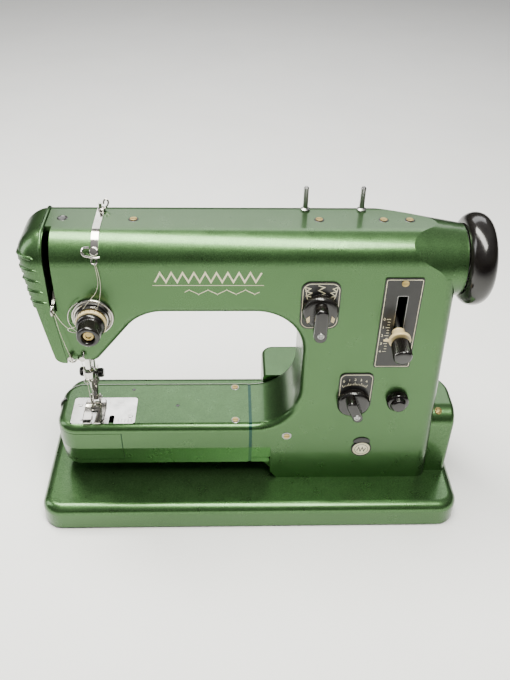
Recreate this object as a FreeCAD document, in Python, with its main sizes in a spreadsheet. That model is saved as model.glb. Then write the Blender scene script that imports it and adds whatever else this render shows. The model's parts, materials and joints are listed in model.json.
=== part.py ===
import FreeCAD, Part
import math
import os
import re

import Sketcher
from FreeCAD import Placement, Rotation, Vector

# Free-arm sewing machine.  Millimetres, +X to the handwheel, +Y to the back, +Z up.
# The origin is the middle of the base, on the surface that its feet stand on.

DIMENSIONS = {
    # base tray
    "base_length": 410, "base_depth": 200, "base_top": 28, "base_corner": 20, "base_edge": 9,
    "base_wall": 4.5, "base_rebate": 1.5, "bottom_plate": 2, "foot_rise": 2, "foot_radius": 9,
    "foot_inset": 30,
    # free arm
    "arm_front": -60, "arm_back": 8, "bed_left": -187, "bed_right": -2.5, "bed_top": 98.7,
    "bed_height": 53.7, "crease_drop": 27.7, "bed_bevel": 6, "bed_round": 20, "bed_edge": 7,
    "bed_wall": 3, "collar_width": 3, "collar_sink": 0.5,
    "door_right": -125, "door_top_drop": 8.7, "door_low_drop": 46.7, "door_back": -50.5, "door_gap": 0.5,
    # upper arm, head and pillar
    "arm_top": 300, "arm_under": 230.5, "arm_edge": 24, "arm_back_edge": 12, "arm_wall": 4,
    "rim_edge": 7,
    "head_left": -170.5, "head_seam_bend": 240, "head_heel": -163.5, "head_bottom": 178,
    "head_right": -138.5, "head_slope": -96, "head_toe_round": 10, "head_throat_round": 40,
    "pillar_left": 44, "throat_round": 43, "sweep_round": 54, "sweep_share": 0.79,
    "pillar_toe": 13, "pillar_foot": 26,
    "pillar_right_low": 177.5, "pillar_right_high": 168, "pillar_edge": 10,
    "barrel_start": 102, "barrel_end": 176.5, "barrel_wide": 43.5, "barrel_narrow": 30.8,
    "nose_start": 157,
    # face cover
    "cover_gap": 0.4, "cover_wall": 2.5, "cover_bulge": 25.5, "cover_heel": 7, "cover_crown": 26,
    "cover_toe_round": 8,
    "rib_count": 5, "rib_step": 10.6, "rib_depth": 2.2, "rib_height": 7.4, "rib_low": 236,
    "slot_bottom": 234, "slot_width": 5.5, "slot_depth": 26,
    # rear housing
    "housing_left": 13, "housing_right": 199, "housing_front": -51.5, "housing_back": 58,
    "housing_top": 106, "housing_side_y": -8, "housing_back_x": 160, "housing_wall": 3,
    "housing_gap": 0.4, "housing_side_round": 30, "housing_back_round": 20,
    "housing_corner_round": 12, "housing_brow": 17, "housing_edge": 4,
    "inlet_back": 2, "inlet_width": 22, "inlet_low": 42, "inlet_height": 16, "inlet_depth": 18,
    # shafts
    "shaft_radius": 5, "shaft_gap": 0.05, "bush_radius": 8, "bush_length": 12,
    "main_y": -26, "main_z": 265, "main_left": -134, "lower_y": -8, "lower_drop": 26.7,
    "left_bush_x": -118, "right_bush_x": 162, "bed_bush_x": -114, "web": 6,
    "sprocket_x": 62, "upper_sprocket": 20, "lower_sprocket": 10, "belt_width": 8,
    "belt_thick": 1.5, "belt_gap": 0.2, "spindle_radius": 3,
    # handwheel
    "wheel_left": 177.5, "wheel_width": 23, "wheel_radius": 40, "wheel_rim": 11.5,
    "clutch_radius": 16,
    # head mechanism
    "needle_x": -151.5, "needle_y": -37, "presser_y": -20, "bar_radius": 3, "bar_gap": 0.04,
    "bar_top": 285, "needle_bar_low": 142, "clamp_low": 140, "clamp_length": 13, "clamp_radius": 5.5,
    "needle_radius": 0.5, "needle_tip": 106, "foot_hinge_z": 107.5, "foot_hinge_y": -25,
    "sole_gap": 0.4, "sole_thick": 2,
    "crank_radius": 22, "crank_width": 8, "take_up_y": -16, "take_up_z": 262, "take_up_x": -167.2,
    "eye_y": -64, "eye_z": 239,
    # needle plate
    "plate_left": -173.4, "plate_right": -112, "plate_front": -54, "plate_back": -17,
    "plate_thick": 2, "plate_ledge": 3, "plate_gap": 0.15,
    # hook
    "hook_radius": 17, "hook_front": -34, "hook_back": -21.5, "case_radius": 11.5,
    "case_front": -51.5, "case_length": 13,
    # front controls
    "tension_x": -136, "tension_z": 229, "selector_x": 55.4, "selector_z": 237,
    "selector_plate_left": 38.8, "selector_plate_right": 72.1, "selector_plate_low": 216,
    "selector_plate_top": 263.3, "length_left": 107.9, "length_right": 140.6, "length_low": 172.8,
    "length_top": 267.2, "lever_x": 124.5, "lever_z": 227.5, "lever_reach": 58, "lever_tilt": 12,
    "width_left": 79, "width_right": 110.4, "width_low": 122, "width_top": 165.2,
    "width_x": 93.5, "width_z": 133, "dial_x": 135, "dial_z": 133.5, "panel_thick": 1.2,
    "selector_skirt": 15.5, "width_skirt": 15.2, "skirt_thick": 8, "knob_reach": 19,
    "lever_slot_down": 16, "lever_slot_up": 22,
    "badge_x": 108, "badge_z": 69, "badge_radius": 8.7,
    # motor
    "motor_y": 33, "motor_z": 62, "motor_radius": 20, "motor_left": 40, "motor_right": 130,
    "pulley_x": 142, "pulley_width": 8, "motor_pulley": 9, "lower_pulley": 24,
    # top of the arm
    "pin_left": 43.5, "pin_right": 91.5, "pin_y": -5, "pin_rise": 22, "pin_radius": 2.2,
    "strap_x": -128.5, "strap_width": 6, "strap_thick": 1.2, "screw_radius": 3, "slip_gap": 0.05,
}

TURNS = {
    "Z": Rotation(Vector(0, 0, 1), 0),
    "X": Rotation(Vector(0, 1, 0), 90),
    "Y": Rotation(Vector(1, 0, 0), -90),
    "-Y": Rotation(Vector(1, 0, 0), 90),
    "-X": Rotation(Vector(0, 1, 0), -90),
}
TOUCH = 0.05
WORD = re.compile(r"[a-z_][a-z_0-9]*")

doc = FreeCAD.newDocument("SewingMachine")
dims = doc.addObject("Spreadsheet::Sheet", "Dim")
for row, (alias, size) in enumerate(DIMENSIONS.items(), start=1):
    dims.set("A%d" % row, alias)
    dims.set("B%d" % row, str(size))
    dims.setAlias("B%d" % row, alias)
doc.recompute()

nodes = {}


# ---------------------------------------------------------------- helpers

def expression(text):
    """Point every driving dimension named in the text at its cell in the sheet."""
    return WORD.sub(lambda word: "Dim." + word[0] if word[0] in DIMENSIONS else word[0], str(text))


def value(text):
    """Number that an expression gives now."""
    return float(dims.evalExpression(expression(text)))


def bind(obj, **sizes):
    for name, text in sizes.items():
        obj.setExpression(name, expression(text))
    return obj


def place(obj, x, y, z, axis="Z"):
    """Put an object's own origin at x, y, z with its own Z along the given axis."""
    obj.Placement = Placement(Vector(), TURNS[axis])
    for letter, text in (("x", x), ("y", y), ("z", z)):
        obj.setExpression("Placement.Base." + letter, expression(text))
    return obj


def node(label, obj):
    obj.Label = label
    nodes[label] = obj
    return obj


def rod(radius, length, x, y, z, axis="Z"):
    obj = bind(doc.addObject("Part::Cylinder", "Rod"), Radius=radius, Height=length)
    return place(obj, x, y, z, axis)


def cone(start, end, length, x, y, z, axis="Z"):
    obj = bind(doc.addObject("Part::Cone", "Cone"), Radius1=start, Radius2=end, Height=length)
    return place(obj, x, y, z, axis)


def block(x0, x1, y0, y1, z0, z1):
    obj = bind(doc.addObject("Part::Box", "Block"),
               Length="(%s) - (%s)" % (x1, x0),
               Width="(%s) - (%s)" % (y1, y0),
               Height="(%s) - (%s)" % (z1, z0))
    return place(obj, x0, y0, z0)


def join(*parts):
    obj = doc.addObject("Part::MultiFuse", "Join")
    obj.Shapes = list(parts)
    return obj


def cut(base, *tools):
    obj = doc.addObject("Part::Cut", "Cut")
    obj.Base = base
    obj.Tool = tools[0] if len(tools) == 1 else join(*tools)
    return obj


def common(first, second):
    obj = doc.addObject("Part::MultiCommon", "Common")
    obj.Shapes = [first, second]
    return obj


def group(*parts):
    """Several separate solids as one object."""
    obj = doc.addObject("Part::Compound", "Group")
    obj.Links = list(parts)
    return obj


def origin_plane(body, role):
    return next(feature for feature in body.Origin.OriginFeatures if feature.Role == role)


def draw(body, role, level, *loops):
    """Sketch of closed polygons on an origin plane, moved along that plane's normal."""
    sketch = body.newObject("Sketcher::SketchObject", "Sketch")
    sketch.AttachmentSupport = [(origin_plane(body, role), "")]
    sketch.MapMode = "FlatFace"
    sketch.setExpression("AttachmentOffset.Base.z", expression(level))
    for corners in loops:
        first = sketch.GeometryCount
        count = len(corners)
        points = [Vector(value(u), value(v), 0) for u, v in corners]
        for i in range(count):
            sketch.addGeometry(Part.LineSegment(points[i], points[(i + 1) % count]))
        for i in range(count):
            sketch.addConstraint(Sketcher.Constraint("Coincident", first + i, 2,
                                                     first + (i + 1) % count, 1))
        for i, corner in enumerate(corners):
            for kind, text, start in (("DistanceX", corner[0], points[i].x),
                                      ("DistanceY", corner[1], points[i].y)):
                index = sketch.addConstraint(
                    Sketcher.Constraint(kind, -1, 1, first + i, 1, start))
                sketch.setExpression("Constraints[%d]" % index, expression(text))
    return sketch


def prism(role, low, high, *loops):
    """Pad of a profile between two levels along X (YZ plane), Y (XZ plane) or Z (XY plane)."""
    body = doc.addObject("PartDesign::Body", "Body")
    level = "-(%s)" % high if role == "XZ_Plane" else low
    sketch = draw(body, role, level, *loops)
    pad = body.newObject("PartDesign::Pad", "Pad")
    pad.Profile = sketch
    pad.setExpression("Length", expression("(%s) - (%s)" % (high, low)))
    return body


def turned(profile, x, y, z, axis="Z"):
    """Revolved piece: a profile of (radius, height) pairs about its own Z axis."""
    body = doc.addObject("PartDesign::Body", "Body")
    sketch = draw(body, "XZ_Plane", "0", profile)
    revolution = body.newObject("PartDesign::Revolution", "Revolution")
    revolution.Profile = sketch
    revolution.ReferenceAxis = (sketch, ["V_Axis"])
    revolution.Angle = 360
    return place(body, x, y, z, axis)


def line_test(**fixed):
    """Test for an edge that keeps the given coordinates along its whole length."""
    def test(edge):
        box = edge.BoundBox
        spans = {"x": (box.XMin, box.XMax), "y": (box.YMin, box.YMax), "z": (box.ZMin, box.ZMax)}
        return all(abs(end - at) < TOUCH for name, at in fixed.items() for end in spans[name])
    return test


def soften(body, radius, *tests):
    """Fillet every edge of the body's tip that passes one of the tests."""
    doc.recompute()
    base = body.Tip
    names = ["Edge%d" % (i + 1) for i, edge in enumerate(base.Shape.Edges)
             if any(test(edge) for test in tests)]
    feature = body.newObject("PartDesign::Fillet", "Fillet")
    feature.Base = (base, names)
    feature.setExpression("Radius", expression(radius))
    doc.recompute()
    return body


def corner_test(x, z):
    """Test for an edge along Y at one corner of a front-view profile."""
    return line_test(x=value(x), z=value(z))


def bush(x, y, z, axis="X"):
    """Plain bearing bush of the size that all three long shafts share."""
    return cut(rod("bush_radius", "bush_length", x, y, z, axis),
               rod("shaft_radius + shaft_gap", "bush_length + 2", *shifted(x, y, z, axis, -1),
                   axis))


def shifted(x, y, z, axis, distance):
    """The point moved along the axis, as expressions."""
    moved = {"X": x, "Y": y, "Z": z}
    letter = axis.strip("-")
    sign = "-" if axis.startswith("-") else "+"
    moved[letter] = "%s %s (%s)" % (moved[letter], sign, distance)
    return moved["X"], moved["Y"], moved["Z"]


def slotted_screw(radius, rise, x, y, z, axis="Z"):
    """Round slotted screw head standing off a face."""
    head = rod(radius, rise, x, y, z, axis)
    slot_depth = 0.5 * value(rise)
    width = 0.22 * value(radius)
    slot = bind(doc.addObject("Part::Box", "Slot"), Length="2.4 * (%s)" % radius)
    slot.Width = width
    slot.Height = slot_depth + 1
    turn = TURNS[axis]
    centre = Vector(value(x), value(y), value(z))
    offset = turn.multVec(Vector(-1.2 * value(radius), -width / 2, value(rise) - slot_depth))
    slot.Placement = Placement(centre + offset, turn)
    return cut(head, slot)


# ---------------------------------------------------------------- base

def rounded_tray(inset, low, high, corner):
    """Plate with the base's outline, moved in from it and with its four corners rounded."""
    half_x = "(base_length / 2 - %s)" % inset
    half_y = "(base_depth / 2 - %s)" % inset
    body = prism("XY_Plane", low, high, [("-" + half_x, "-" + half_y), (half_x, "-" + half_y),
                                         (half_x, half_y), ("-" + half_x, half_y)])
    tests = [line_test(x=sx * value(half_x), y=sy * value(half_y))
             for sx in (-1, 1) for sy in (-1, 1)]
    return soften(body, corner, *tests)


def make_base():
    outer = rounded_tray("0", "foot_rise", "base_top", "base_corner")
    soften(outer, "base_edge", line_test(z=value("base_top")))
    core = rounded_tray("base_wall", "foot_rise - 1", "base_top - base_wall",
                        "base_corner - base_wall")
    rebate = rounded_tray("base_wall - base_rebate", "foot_rise - 1", "foot_rise + bottom_plate",
                          "base_corner - base_wall + base_rebate")
    node("base_shell", cut(outer, core, rebate))
    node("bottom_plate", rounded_tray("base_wall - base_rebate + 0.2", "foot_rise",
                                      "foot_rise + bottom_plate",
                                      "base_corner - base_wall + base_rebate"))
    feet = []
    for side_x in ("-", ""):
        for side_y in ("-", ""):
            feet.append(rod("foot_radius", "foot_rise",
                            side_x + "(base_length / 2 - foot_inset)",
                            side_y + "(base_depth / 2 - foot_inset)", "0"))
    node("rubber_feet", group(*feet))


# ---------------------------------------------------------------- free arm

def bed_profile(inset):
    """Cross-section of the free arm across Y and Z, moved in by the inset."""
    front = "arm_front + %s" % inset
    back = "arm_back - %s" % inset
    top = "bed_top - %s" % inset
    bottom = "bed_top - bed_height + %s" % inset
    return [(front, top), (front, "bed_top - crease_drop"), (front + " + bed_bevel", bottom),
            (back + " - bed_bevel", bottom), (back, "bed_top - crease_drop"), (back, top)]


def round_bed(body, inset):
    front = value("arm_front + %s" % inset)
    back = value("arm_back - %s" % inset)
    top = value("bed_top - %s" % inset)
    left = value("bed_left + %s" % inset)

    def slanted(edge):
        box = edge.BoundBox
        return (abs(box.XMax - left) < TOUCH and box.ZMax < value("bed_top - crease_drop") + TOUCH
                and box.ZLength > 5 and box.YLength < 10)

    def upper(edge):
        box = edge.BoundBox
        return box.ZMin > top - TOUCH and box.XMin < value("bed_right - 20")

    soften(body, "bed_round - %s" % inset, line_test(x=left, y=front), line_test(x=left, y=back),
           slanted)
    return soften(body, "bed_edge - %s" % inset, upper)


def make_free_arm():
    outer = round_bed(prism("YZ_Plane", "bed_left", "bed_right", bed_profile("0")), "0")
    core = round_bed(prism("YZ_Plane", "bed_left + bed_wall", "bed_right + 1",
                           bed_profile("bed_wall")), "bed_wall")
    web = block("bed_bush_x + bush_length / 2 - web / 2", "bed_bush_x + bush_length / 2 + web / 2",
                "arm_front + 1", "arm_back - 1", "bed_top - crease_drop - 18", "bed_top - crease_drop + 20")
    web_hole = rod("bush_radius", "40", "bed_bush_x - 10", "lower_y", "bed_top - lower_drop", "X")
    bearing = block("needle_x - 7", "needle_x + 6", "lower_y - 7.5", "lower_y - 3",
                    "bed_top - bed_height + 1", "bed_top - lower_drop + 8")
    bearing_hole = rod("4 + shaft_gap", "12", "needle_x", "lower_y - 10", "bed_top - lower_drop", "Y")
    shell = join(cut(outer, core), cut(common(web, outer), web_hole),
                 cut(bearing, bearing_hole))
    plate_seat = block("plate_left - plate_gap", "plate_right + plate_gap",
                       "plate_front - plate_gap", "plate_back + plate_gap",
                       "bed_top - plate_thick", "bed_top + 1")
    plate_window = block("plate_left + plate_ledge", "plate_right - plate_ledge",
                         "plate_front + plate_ledge", "plate_back - plate_ledge",
                         "bed_top - bed_wall - 10", "bed_top")
    door_zone = block("bed_left - 5", "door_right", "arm_front - 5", "door_back",
                      "bed_top - door_low_drop", "bed_top - door_top_drop")
    door_clear = block("bed_left - 5", "door_right + door_gap", "arm_front - 5",
                       "door_back + door_gap", "bed_top - door_low_drop - door_gap",
                       "bed_top - door_top_drop + door_gap")
    node("free_arm_shell", cut(shell, plate_seat, plate_window, door_clear))
    node("hook_door", common(cut(outer, core), door_zone))
    node("collar_strip", prism("YZ_Plane", "bed_right", "bed_right + collar_width",
                               bed_profile("collar_sink"), bed_profile("bed_wall")))
    soften(nodes["collar_strip"], "bed_edge - collar_sink",
           line_test(y=value("arm_front + collar_sink"), z=value("bed_top - collar_sink")),
           line_test(y=value("arm_back - collar_sink"), z=value("bed_top - collar_sink")))


def make_needle_plate():
    plate = prism("XY_Plane", "bed_top - plate_thick", "bed_top",
                  [("plate_left", "plate_front"), ("plate_right", "plate_front"),
                   ("plate_right", "plate_back"), ("plate_left", "plate_back")])
    soften(plate, "plate_ledge", *[line_test(x=value(x), y=value(y))
                                   for x in ("plate_left", "plate_right")
                                   for y in ("plate_front", "plate_back")])
    slots = [block("needle_x - 4", "needle_x + 4", "needle_y - 1.2", "needle_y + 1.2",
                   "bed_top - 9", "bed_top + 1")]
    for side in (-6, 4):
        slots.append(block("needle_x + %s" % side, "needle_x + %s" % (side + 2), "needle_y - 9",
                           "needle_y + 13", "bed_top - 9", "bed_top + 1"))
    slots.append(block("-137", "-132", "plate_front - 1", "plate_front + 9",
                       "bed_top - 9", "bed_top + 1"))
    slots.append(rod("2.5", "10", "-134.5", "plate_front + 9", "bed_top - 9"))
    slots.append(rod("0.8", "10", "plate_left + 10", "plate_front + 5", "bed_top - 9"))
    node("needle_plate", cut(plate, *slots))
    node("plate_screws", group(
        slotted_screw("2.6", "0.5", "plate_left + 6.4", "plate_back - 10", "bed_top"),
        slotted_screw("2.6", "0.5", "plate_right - 5", "plate_front + 11", "bed_top")))


# ---------------------------------------------------------------- arm casting

def casting_profile():
    collar_end = "bed_right + collar_width"
    return [("head_left", "arm_top"), ("head_left", "head_seam_bend"),
            ("head_heel", "head_bottom"), ("head_right", "head_bottom"),
            ("head_slope", "arm_under"), ("pillar_left", "arm_under"),
            ("pillar_left", "bed_top"), (collar_end, "bed_top"), (collar_end, "bed_top - bed_height"),
            ("pillar_toe", "bed_top - bed_height"), ("pillar_foot", "base_top"),
            ("pillar_right_low", "base_top"), ("pillar_right_high", "arm_top")]


def casting_core_profile():
    collar_end = "bed_right + collar_width - 1"
    return [("head_left - 1", "arm_top - arm_wall"), ("head_left - 1", "head_bottom + arm_wall"),
            ("head_right - 1.5", "head_bottom + arm_wall"),
            ("head_slope - 1.5", "arm_under + arm_wall"),
            ("pillar_left + arm_wall", "arm_under + arm_wall"),
            ("pillar_left + arm_wall", "bed_top - arm_wall"),
            (collar_end, "bed_top - arm_wall"), (collar_end, "bed_top - bed_height + arm_wall + 4"),
            ("pillar_toe + arm_wall", "bed_top - bed_height + arm_wall + 4"),
            ("pillar_foot + arm_wall", "base_top - 1"),
            ("pillar_right_low - arm_wall", "base_top - 1"),
            ("pillar_right_high - arm_wall", "arm_top - arm_wall")]


def barrel(inset):
    """Round nose that carries the arm's section over to the handwheel."""
    return cone("barrel_wide - %s" % inset, "barrel_narrow - %s" % inset,
                "barrel_end - barrel_start", "barrel_start", "main_y", "main_z", "X")


def end_limit(inset):
    """Space that the arm may fill: all of it at the left, the barrel at the upper right."""
    left = block("head_left - 5", "barrel_start", "arm_front - 5", "arm_back + 5",
                 "base_top - 5", "arm_top + 5")
    below = block("barrel_start", "barrel_end", "arm_front - 5", "arm_back + 5",
                  "base_top - 5", "main_z")
    return join(left, below, barrel(inset))


def make_casting():
    outer = prism("XZ_Plane", "arm_front", "arm_back", casting_profile())
    soften(outer, "throat_round", corner_test("pillar_left", "arm_under"))
    soften(outer, "sweep_round * sweep_share", corner_test("pillar_left", "bed_top"))
    soften(outer, "head_throat_round", corner_test("head_slope", "arm_under"))
    soften(outer, "head_toe_round", corner_test("head_right", "head_bottom"))
    front = value("arm_front")
    back = value("arm_back")
    top = value("arm_top")
    soften(outer, "arm_edge", line_test(y=front, z=top))
    soften(outer, "arm_back_edge", line_test(y=back, z=top))

    def right_upright(edge):
        box = edge.BoundBox
        return (box.XMin > value("pillar_right_high") - 1 and box.ZLength > 100
                and abs(box.YMin - box.YMax) < TOUCH)

    def rim(edge):
        box = edge.BoundBox
        flat = abs(box.YMin - box.YMax) < TOUCH and min(abs(box.YMin - front),
                                                        abs(box.YMin - back)) < TOUCH
        inside = (box.XMax < value("pillar_left") + 1 and box.ZMax < value("arm_under") + 1
                  and box.ZMin > value("bed_top") - 1 and box.XMin > value("head_right") - 9)
        return flat and inside

    soften(outer, "pillar_edge", right_upright)
    soften(outer, "rim_edge", rim)
    core = prism("XZ_Plane", "arm_front + arm_wall", "arm_back - arm_wall",
                 casting_core_profile())
    soften(core, "arm_edge - arm_wall",
           line_test(y=value("arm_front + arm_wall"), z=value("arm_top - arm_wall")))
    soften(core, "arm_back_edge - arm_wall",
           line_test(y=value("arm_back - arm_wall"), z=value("arm_top - arm_wall")))
    front_bevel = prism("YZ_Plane", "bed_right", "pillar_toe + 6",
                        [("arm_front - 1", "bed_top - crease_drop"), ("arm_front", "bed_top - crease_drop"),
                         ("arm_front + bed_bevel", "bed_top - bed_height"),
                         ("arm_front + bed_bevel", "bed_top - bed_height - 20"),
                         ("arm_front - 1", "bed_top - bed_height - 20")])
    nose = common(barrel("0"), block("nose_start", "barrel_end", "arm_front - 5", "arm_back + 5",
                                     "arm_under", "arm_top + 5"))
    rounded = join(common(outer, end_limit("0")), nose)
    shell = cut(rounded, common(core, end_limit("arm_wall")), front_bevel)
    webs = [
        block("left_bush_x + bush_length / 2 - web / 2", "left_bush_x + bush_length / 2 + web / 2",
              "arm_front + 1", "arm_back - 1", "arm_under - 10", "arm_top - 1"),
        block("needle_x - 8", "head_slope", "arm_front + 1", "arm_back - 1",
              "head_bottom + 52", "head_bottom + 58"),
    ]
    webbed = join(shell, *[common(web, outer) for web in webs])
    holes = [
        rod("bush_radius", "bush_length + 10", "left_bush_x - 5", "main_y", "main_z", "X"),
        rod("bush_radius", "bush_length + 30", "right_bush_x - 5", "main_y", "main_z", "X"),
        block("pulley_x - 3", "pulley_x + pulley_width + 3", "arm_back - arm_wall - 1",
              "arm_back + 1", "bed_top - lower_drop - lower_pulley - 4",
              "bed_top - lower_drop + lower_pulley + 4"),
        rod("bush_radius", "60", "right_bush_x - 10", "lower_y", "bed_top - lower_drop", "X"),
        rod("bar_radius + 2", "140", "needle_x", "needle_y", "head_bottom - 20"),
        rod("bar_radius + 2", "140", "needle_x", "presser_y", "head_bottom - 20"),
        block("head_left - 2", "head_left + slot_width", "arm_front - 2",
              "arm_front + slot_depth", "slot_bottom", "arm_top + 1"),
        block("lever_x - 4", "lever_x + 4", "arm_front - 2", "arm_front + 12",
              "lever_z - lever_slot_down", "lever_z + lever_slot_up"),
        rod("spindle_radius + shaft_gap", "20", "selector_x", "arm_front - 2", "selector_z", "Y"),
        rod("spindle_radius + shaft_gap", "20", "width_x", "arm_front - 2", "width_z", "Y"),
        rod("spindle_radius + shaft_gap", "20", "dial_x", "arm_front - 2", "dial_z", "Y"),
        rod("spindle_radius", "20", "tension_x", "arm_front - 2", "tension_z", "Y"),
        rod("spindle_radius + shaft_gap", "20", "head_heel + 10", "arm_back - 10",
            "head_bottom + 30", "Y"),
    ]
    node("arm_casting", cut(webbed, *holes))


# ---------------------------------------------------------------- face cover

def cover_profile():
    """Front view of the left end cover; the ribs step its left side."""
    left = "head_left - cover_bulge"
    profile = [("head_left - cover_gap", "arm_top"), (left, "arm_top")]
    count = int(value("rib_count"))
    for index in range(count):
        low = "rib_low + rib_step * %d" % (count - 1 - index)
        at = left + " + 1.1 + 1.75 * %d" % (index + 1)
        profile.append((at, low + " + rib_height"))
        profile.append((at + " + 0.8", low))
        profile.append((at + " + 0.8 + rib_depth", low + " - 0.4"))
    return profile + [("head_heel - cover_heel - 2.5", "head_bottom"),
                      ("head_heel - cover_gap", "head_bottom"),
                      ("head_left - cover_gap", "head_seam_bend")]


def cover_core_profile():
    """Hollow of the cover, open towards the head."""
    left = "head_left - cover_bulge"
    return [("head_heel + 1", "arm_top - cover_wall"),
            (left + " + rib_depth + cover_wall + 1", "arm_top - cover_wall"),
            (left + " + 14 + rib_depth + cover_wall", "rib_low"),
            ("head_heel - cover_heel + cover_wall", "head_bottom + cover_wall"),
            ("head_heel + 1", "head_bottom + cover_wall")]


def make_face_cover():
    stepped = prism("XZ_Plane", "arm_front", "arm_back", cover_profile())
    soften(stepped, "cover_toe_round", corner_test("head_heel - cover_heel - 2.5", "head_bottom"))
    outer = common(stepped, rounded_cover_limit("0"))
    core = common(prism("XZ_Plane", "arm_front + cover_wall", "arm_back - cover_wall",
                        cover_core_profile()),
                  rounded_cover_limit("cover_wall"))
    node("face_cover", cut(outer, core))


def rounded_cover_limit(inset):
    """Block with the rounded plan corners and top edges of the head's left end."""
    left_text = "head_left - cover_bulge - 0.5 + %s" % inset
    front_text = "arm_front + %s" % inset
    back_text = "arm_back - %s" % inset
    top_text = "arm_top - %s" % inset
    body = prism("XY_Plane", "head_bottom - 5", top_text,
                 [(left_text, front_text), ("head_heel + 5", front_text),
                  ("head_heel + 5", back_text), (left_text, back_text)])
    front, back, top = value(front_text), value(back_text), value(top_text)
    soften(body, "cover_crown - %s" % inset, line_test(x=value(left_text), z=top))
    soften(body, "arm_edge - %s" % inset, line_test(y=front, z=top))
    soften(body, "arm_back_edge - %s" % inset, line_test(y=back, z=top))
    return body


# ---------------------------------------------------------------- rear housing

def housing_block(inset, low):
    """Low box beside and behind the pillar, moved in from its outline by the inset."""
    left = "housing_left + %s" % inset
    right = "housing_right - %s" % inset
    front = "housing_front + %s" % inset
    side_y = "housing_side_y - %s * 0.35" % inset
    back = "housing_back - %s" % inset
    back_x = "housing_back_x - %s * 0.65" % inset
    top = "housing_top - %s" % inset
    body = prism("XY_Plane", low, top, [(left, front), (right, front), (right, side_y),
                                        (back_x, back), (left, back)])
    soften(body, "housing_side_round - %s" % inset, line_test(x=value(right), y=value(side_y)))
    soften(body, "housing_back_round - %s" % inset, line_test(x=value(back_x), y=value(back)))
    soften(body, "housing_corner_round - %s" % inset, line_test(x=value(left), y=value(back)))
    soften(body, "housing_brow - %s" % inset, line_test(y=value(front), z=value(top)))
    return body


def make_housing():
    outer = housing_block("0", "base_top")
    soften(outer, "housing_edge", line_test(x=value("housing_right"), y=value("housing_front")))
    core = housing_block("housing_wall", "base_top - 1")
    room = prism("XZ_Plane", "housing_front - 1", "arm_back + housing_gap",
                 [("housing_left - 1", "base_top - 2"),
                  ("pillar_right_low + housing_gap", "base_top - 2"),
                  ("pillar_right_high + housing_gap", "arm_top"), ("housing_left - 1", "arm_top")])
    inlet = ("inlet_back - inlet_width", "inlet_back", "inlet_low", "inlet_low + inlet_height")
    opening = block("housing_right - inlet_depth - 2", "housing_right + 1", *inlet)
    front_wall = block("housing_left + 0.5", "pillar_left + 12", "arm_back + housing_gap",
                       "arm_back + housing_gap + housing_wall", "base_top",
                       "housing_top - housing_edge")
    node("rear_housing", join(cut(outer, core, room, opening), common(front_wall, outer)))
    socket = block("housing_right - inlet_depth", "housing_right + 1", *inlet)
    mouth = block("housing_right - inlet_depth + 6", "housing_right + 2",
                  "inlet_back - inlet_width + 3", "inlet_back - 3", "inlet_low + 3",
                  "inlet_low + inlet_height - 3")
    pins = [rod("1.2", "9", "housing_right - inlet_depth + 5",
                "inlet_back - inlet_width / 2 + %d" % side, "inlet_low + inlet_height / 2", "X")
            for side in (-5, 0, 5)]
    node("power_inlet", join(cut(socket, mouth), *pins))


# ---------------------------------------------------------------- shafts and belts

def pulley_slab(radius_a, centre_a, radius_b, centre_b, width):
    """Solid whose outline wraps two circles in the YZ plane, as thick as the width along X."""
    span = centre_b.sub(centre_a)
    along = Vector(span).normalize()
    side = Vector(0, -along.z, along.y)
    lean = math.asin((radius_a - radius_b) / span.Length)
    near, far = [], []
    for sign in (1, -1):
        normal = side * (sign * math.cos(lean)) + along * math.sin(lean)
        near.append(centre_a + normal * radius_a)
        far.append(centre_b + normal * radius_b)
    edges = [Part.LineSegment(near[0], far[0]).toShape(),
             Part.Arc(far[0], centre_b + along * radius_b, far[1]).toShape(),
             Part.LineSegment(far[1], near[1]).toShape(),
             Part.Arc(near[1], centre_a - along * radius_a, near[0]).toShape()]
    return Part.Face(Part.Wire(edges)).extrude(Vector(width, 0, 0))


def belt(label, x, radius_a, y_a, z_a, radius_b, y_b, z_b):
    """Closed flat belt around two pulleys whose shafts run along X."""
    centres = [Vector(0, value(y_a), value(z_a)), Vector(0, value(y_b), value(z_b))]
    outer, inner = [pulley_slab(value(radius_a) + extra, centres[0],
                                value(radius_b) + extra, centres[1], value("belt_width"))
                    for extra in (value("belt_thick"), 0)]
    obj = doc.addObject("Part::Feature", "Belt")
    obj.Shape = outer.cut(inner)
    obj.Placement = Placement(Vector(value(x), 0, 0), Rotation())
    node(label, obj)


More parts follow.
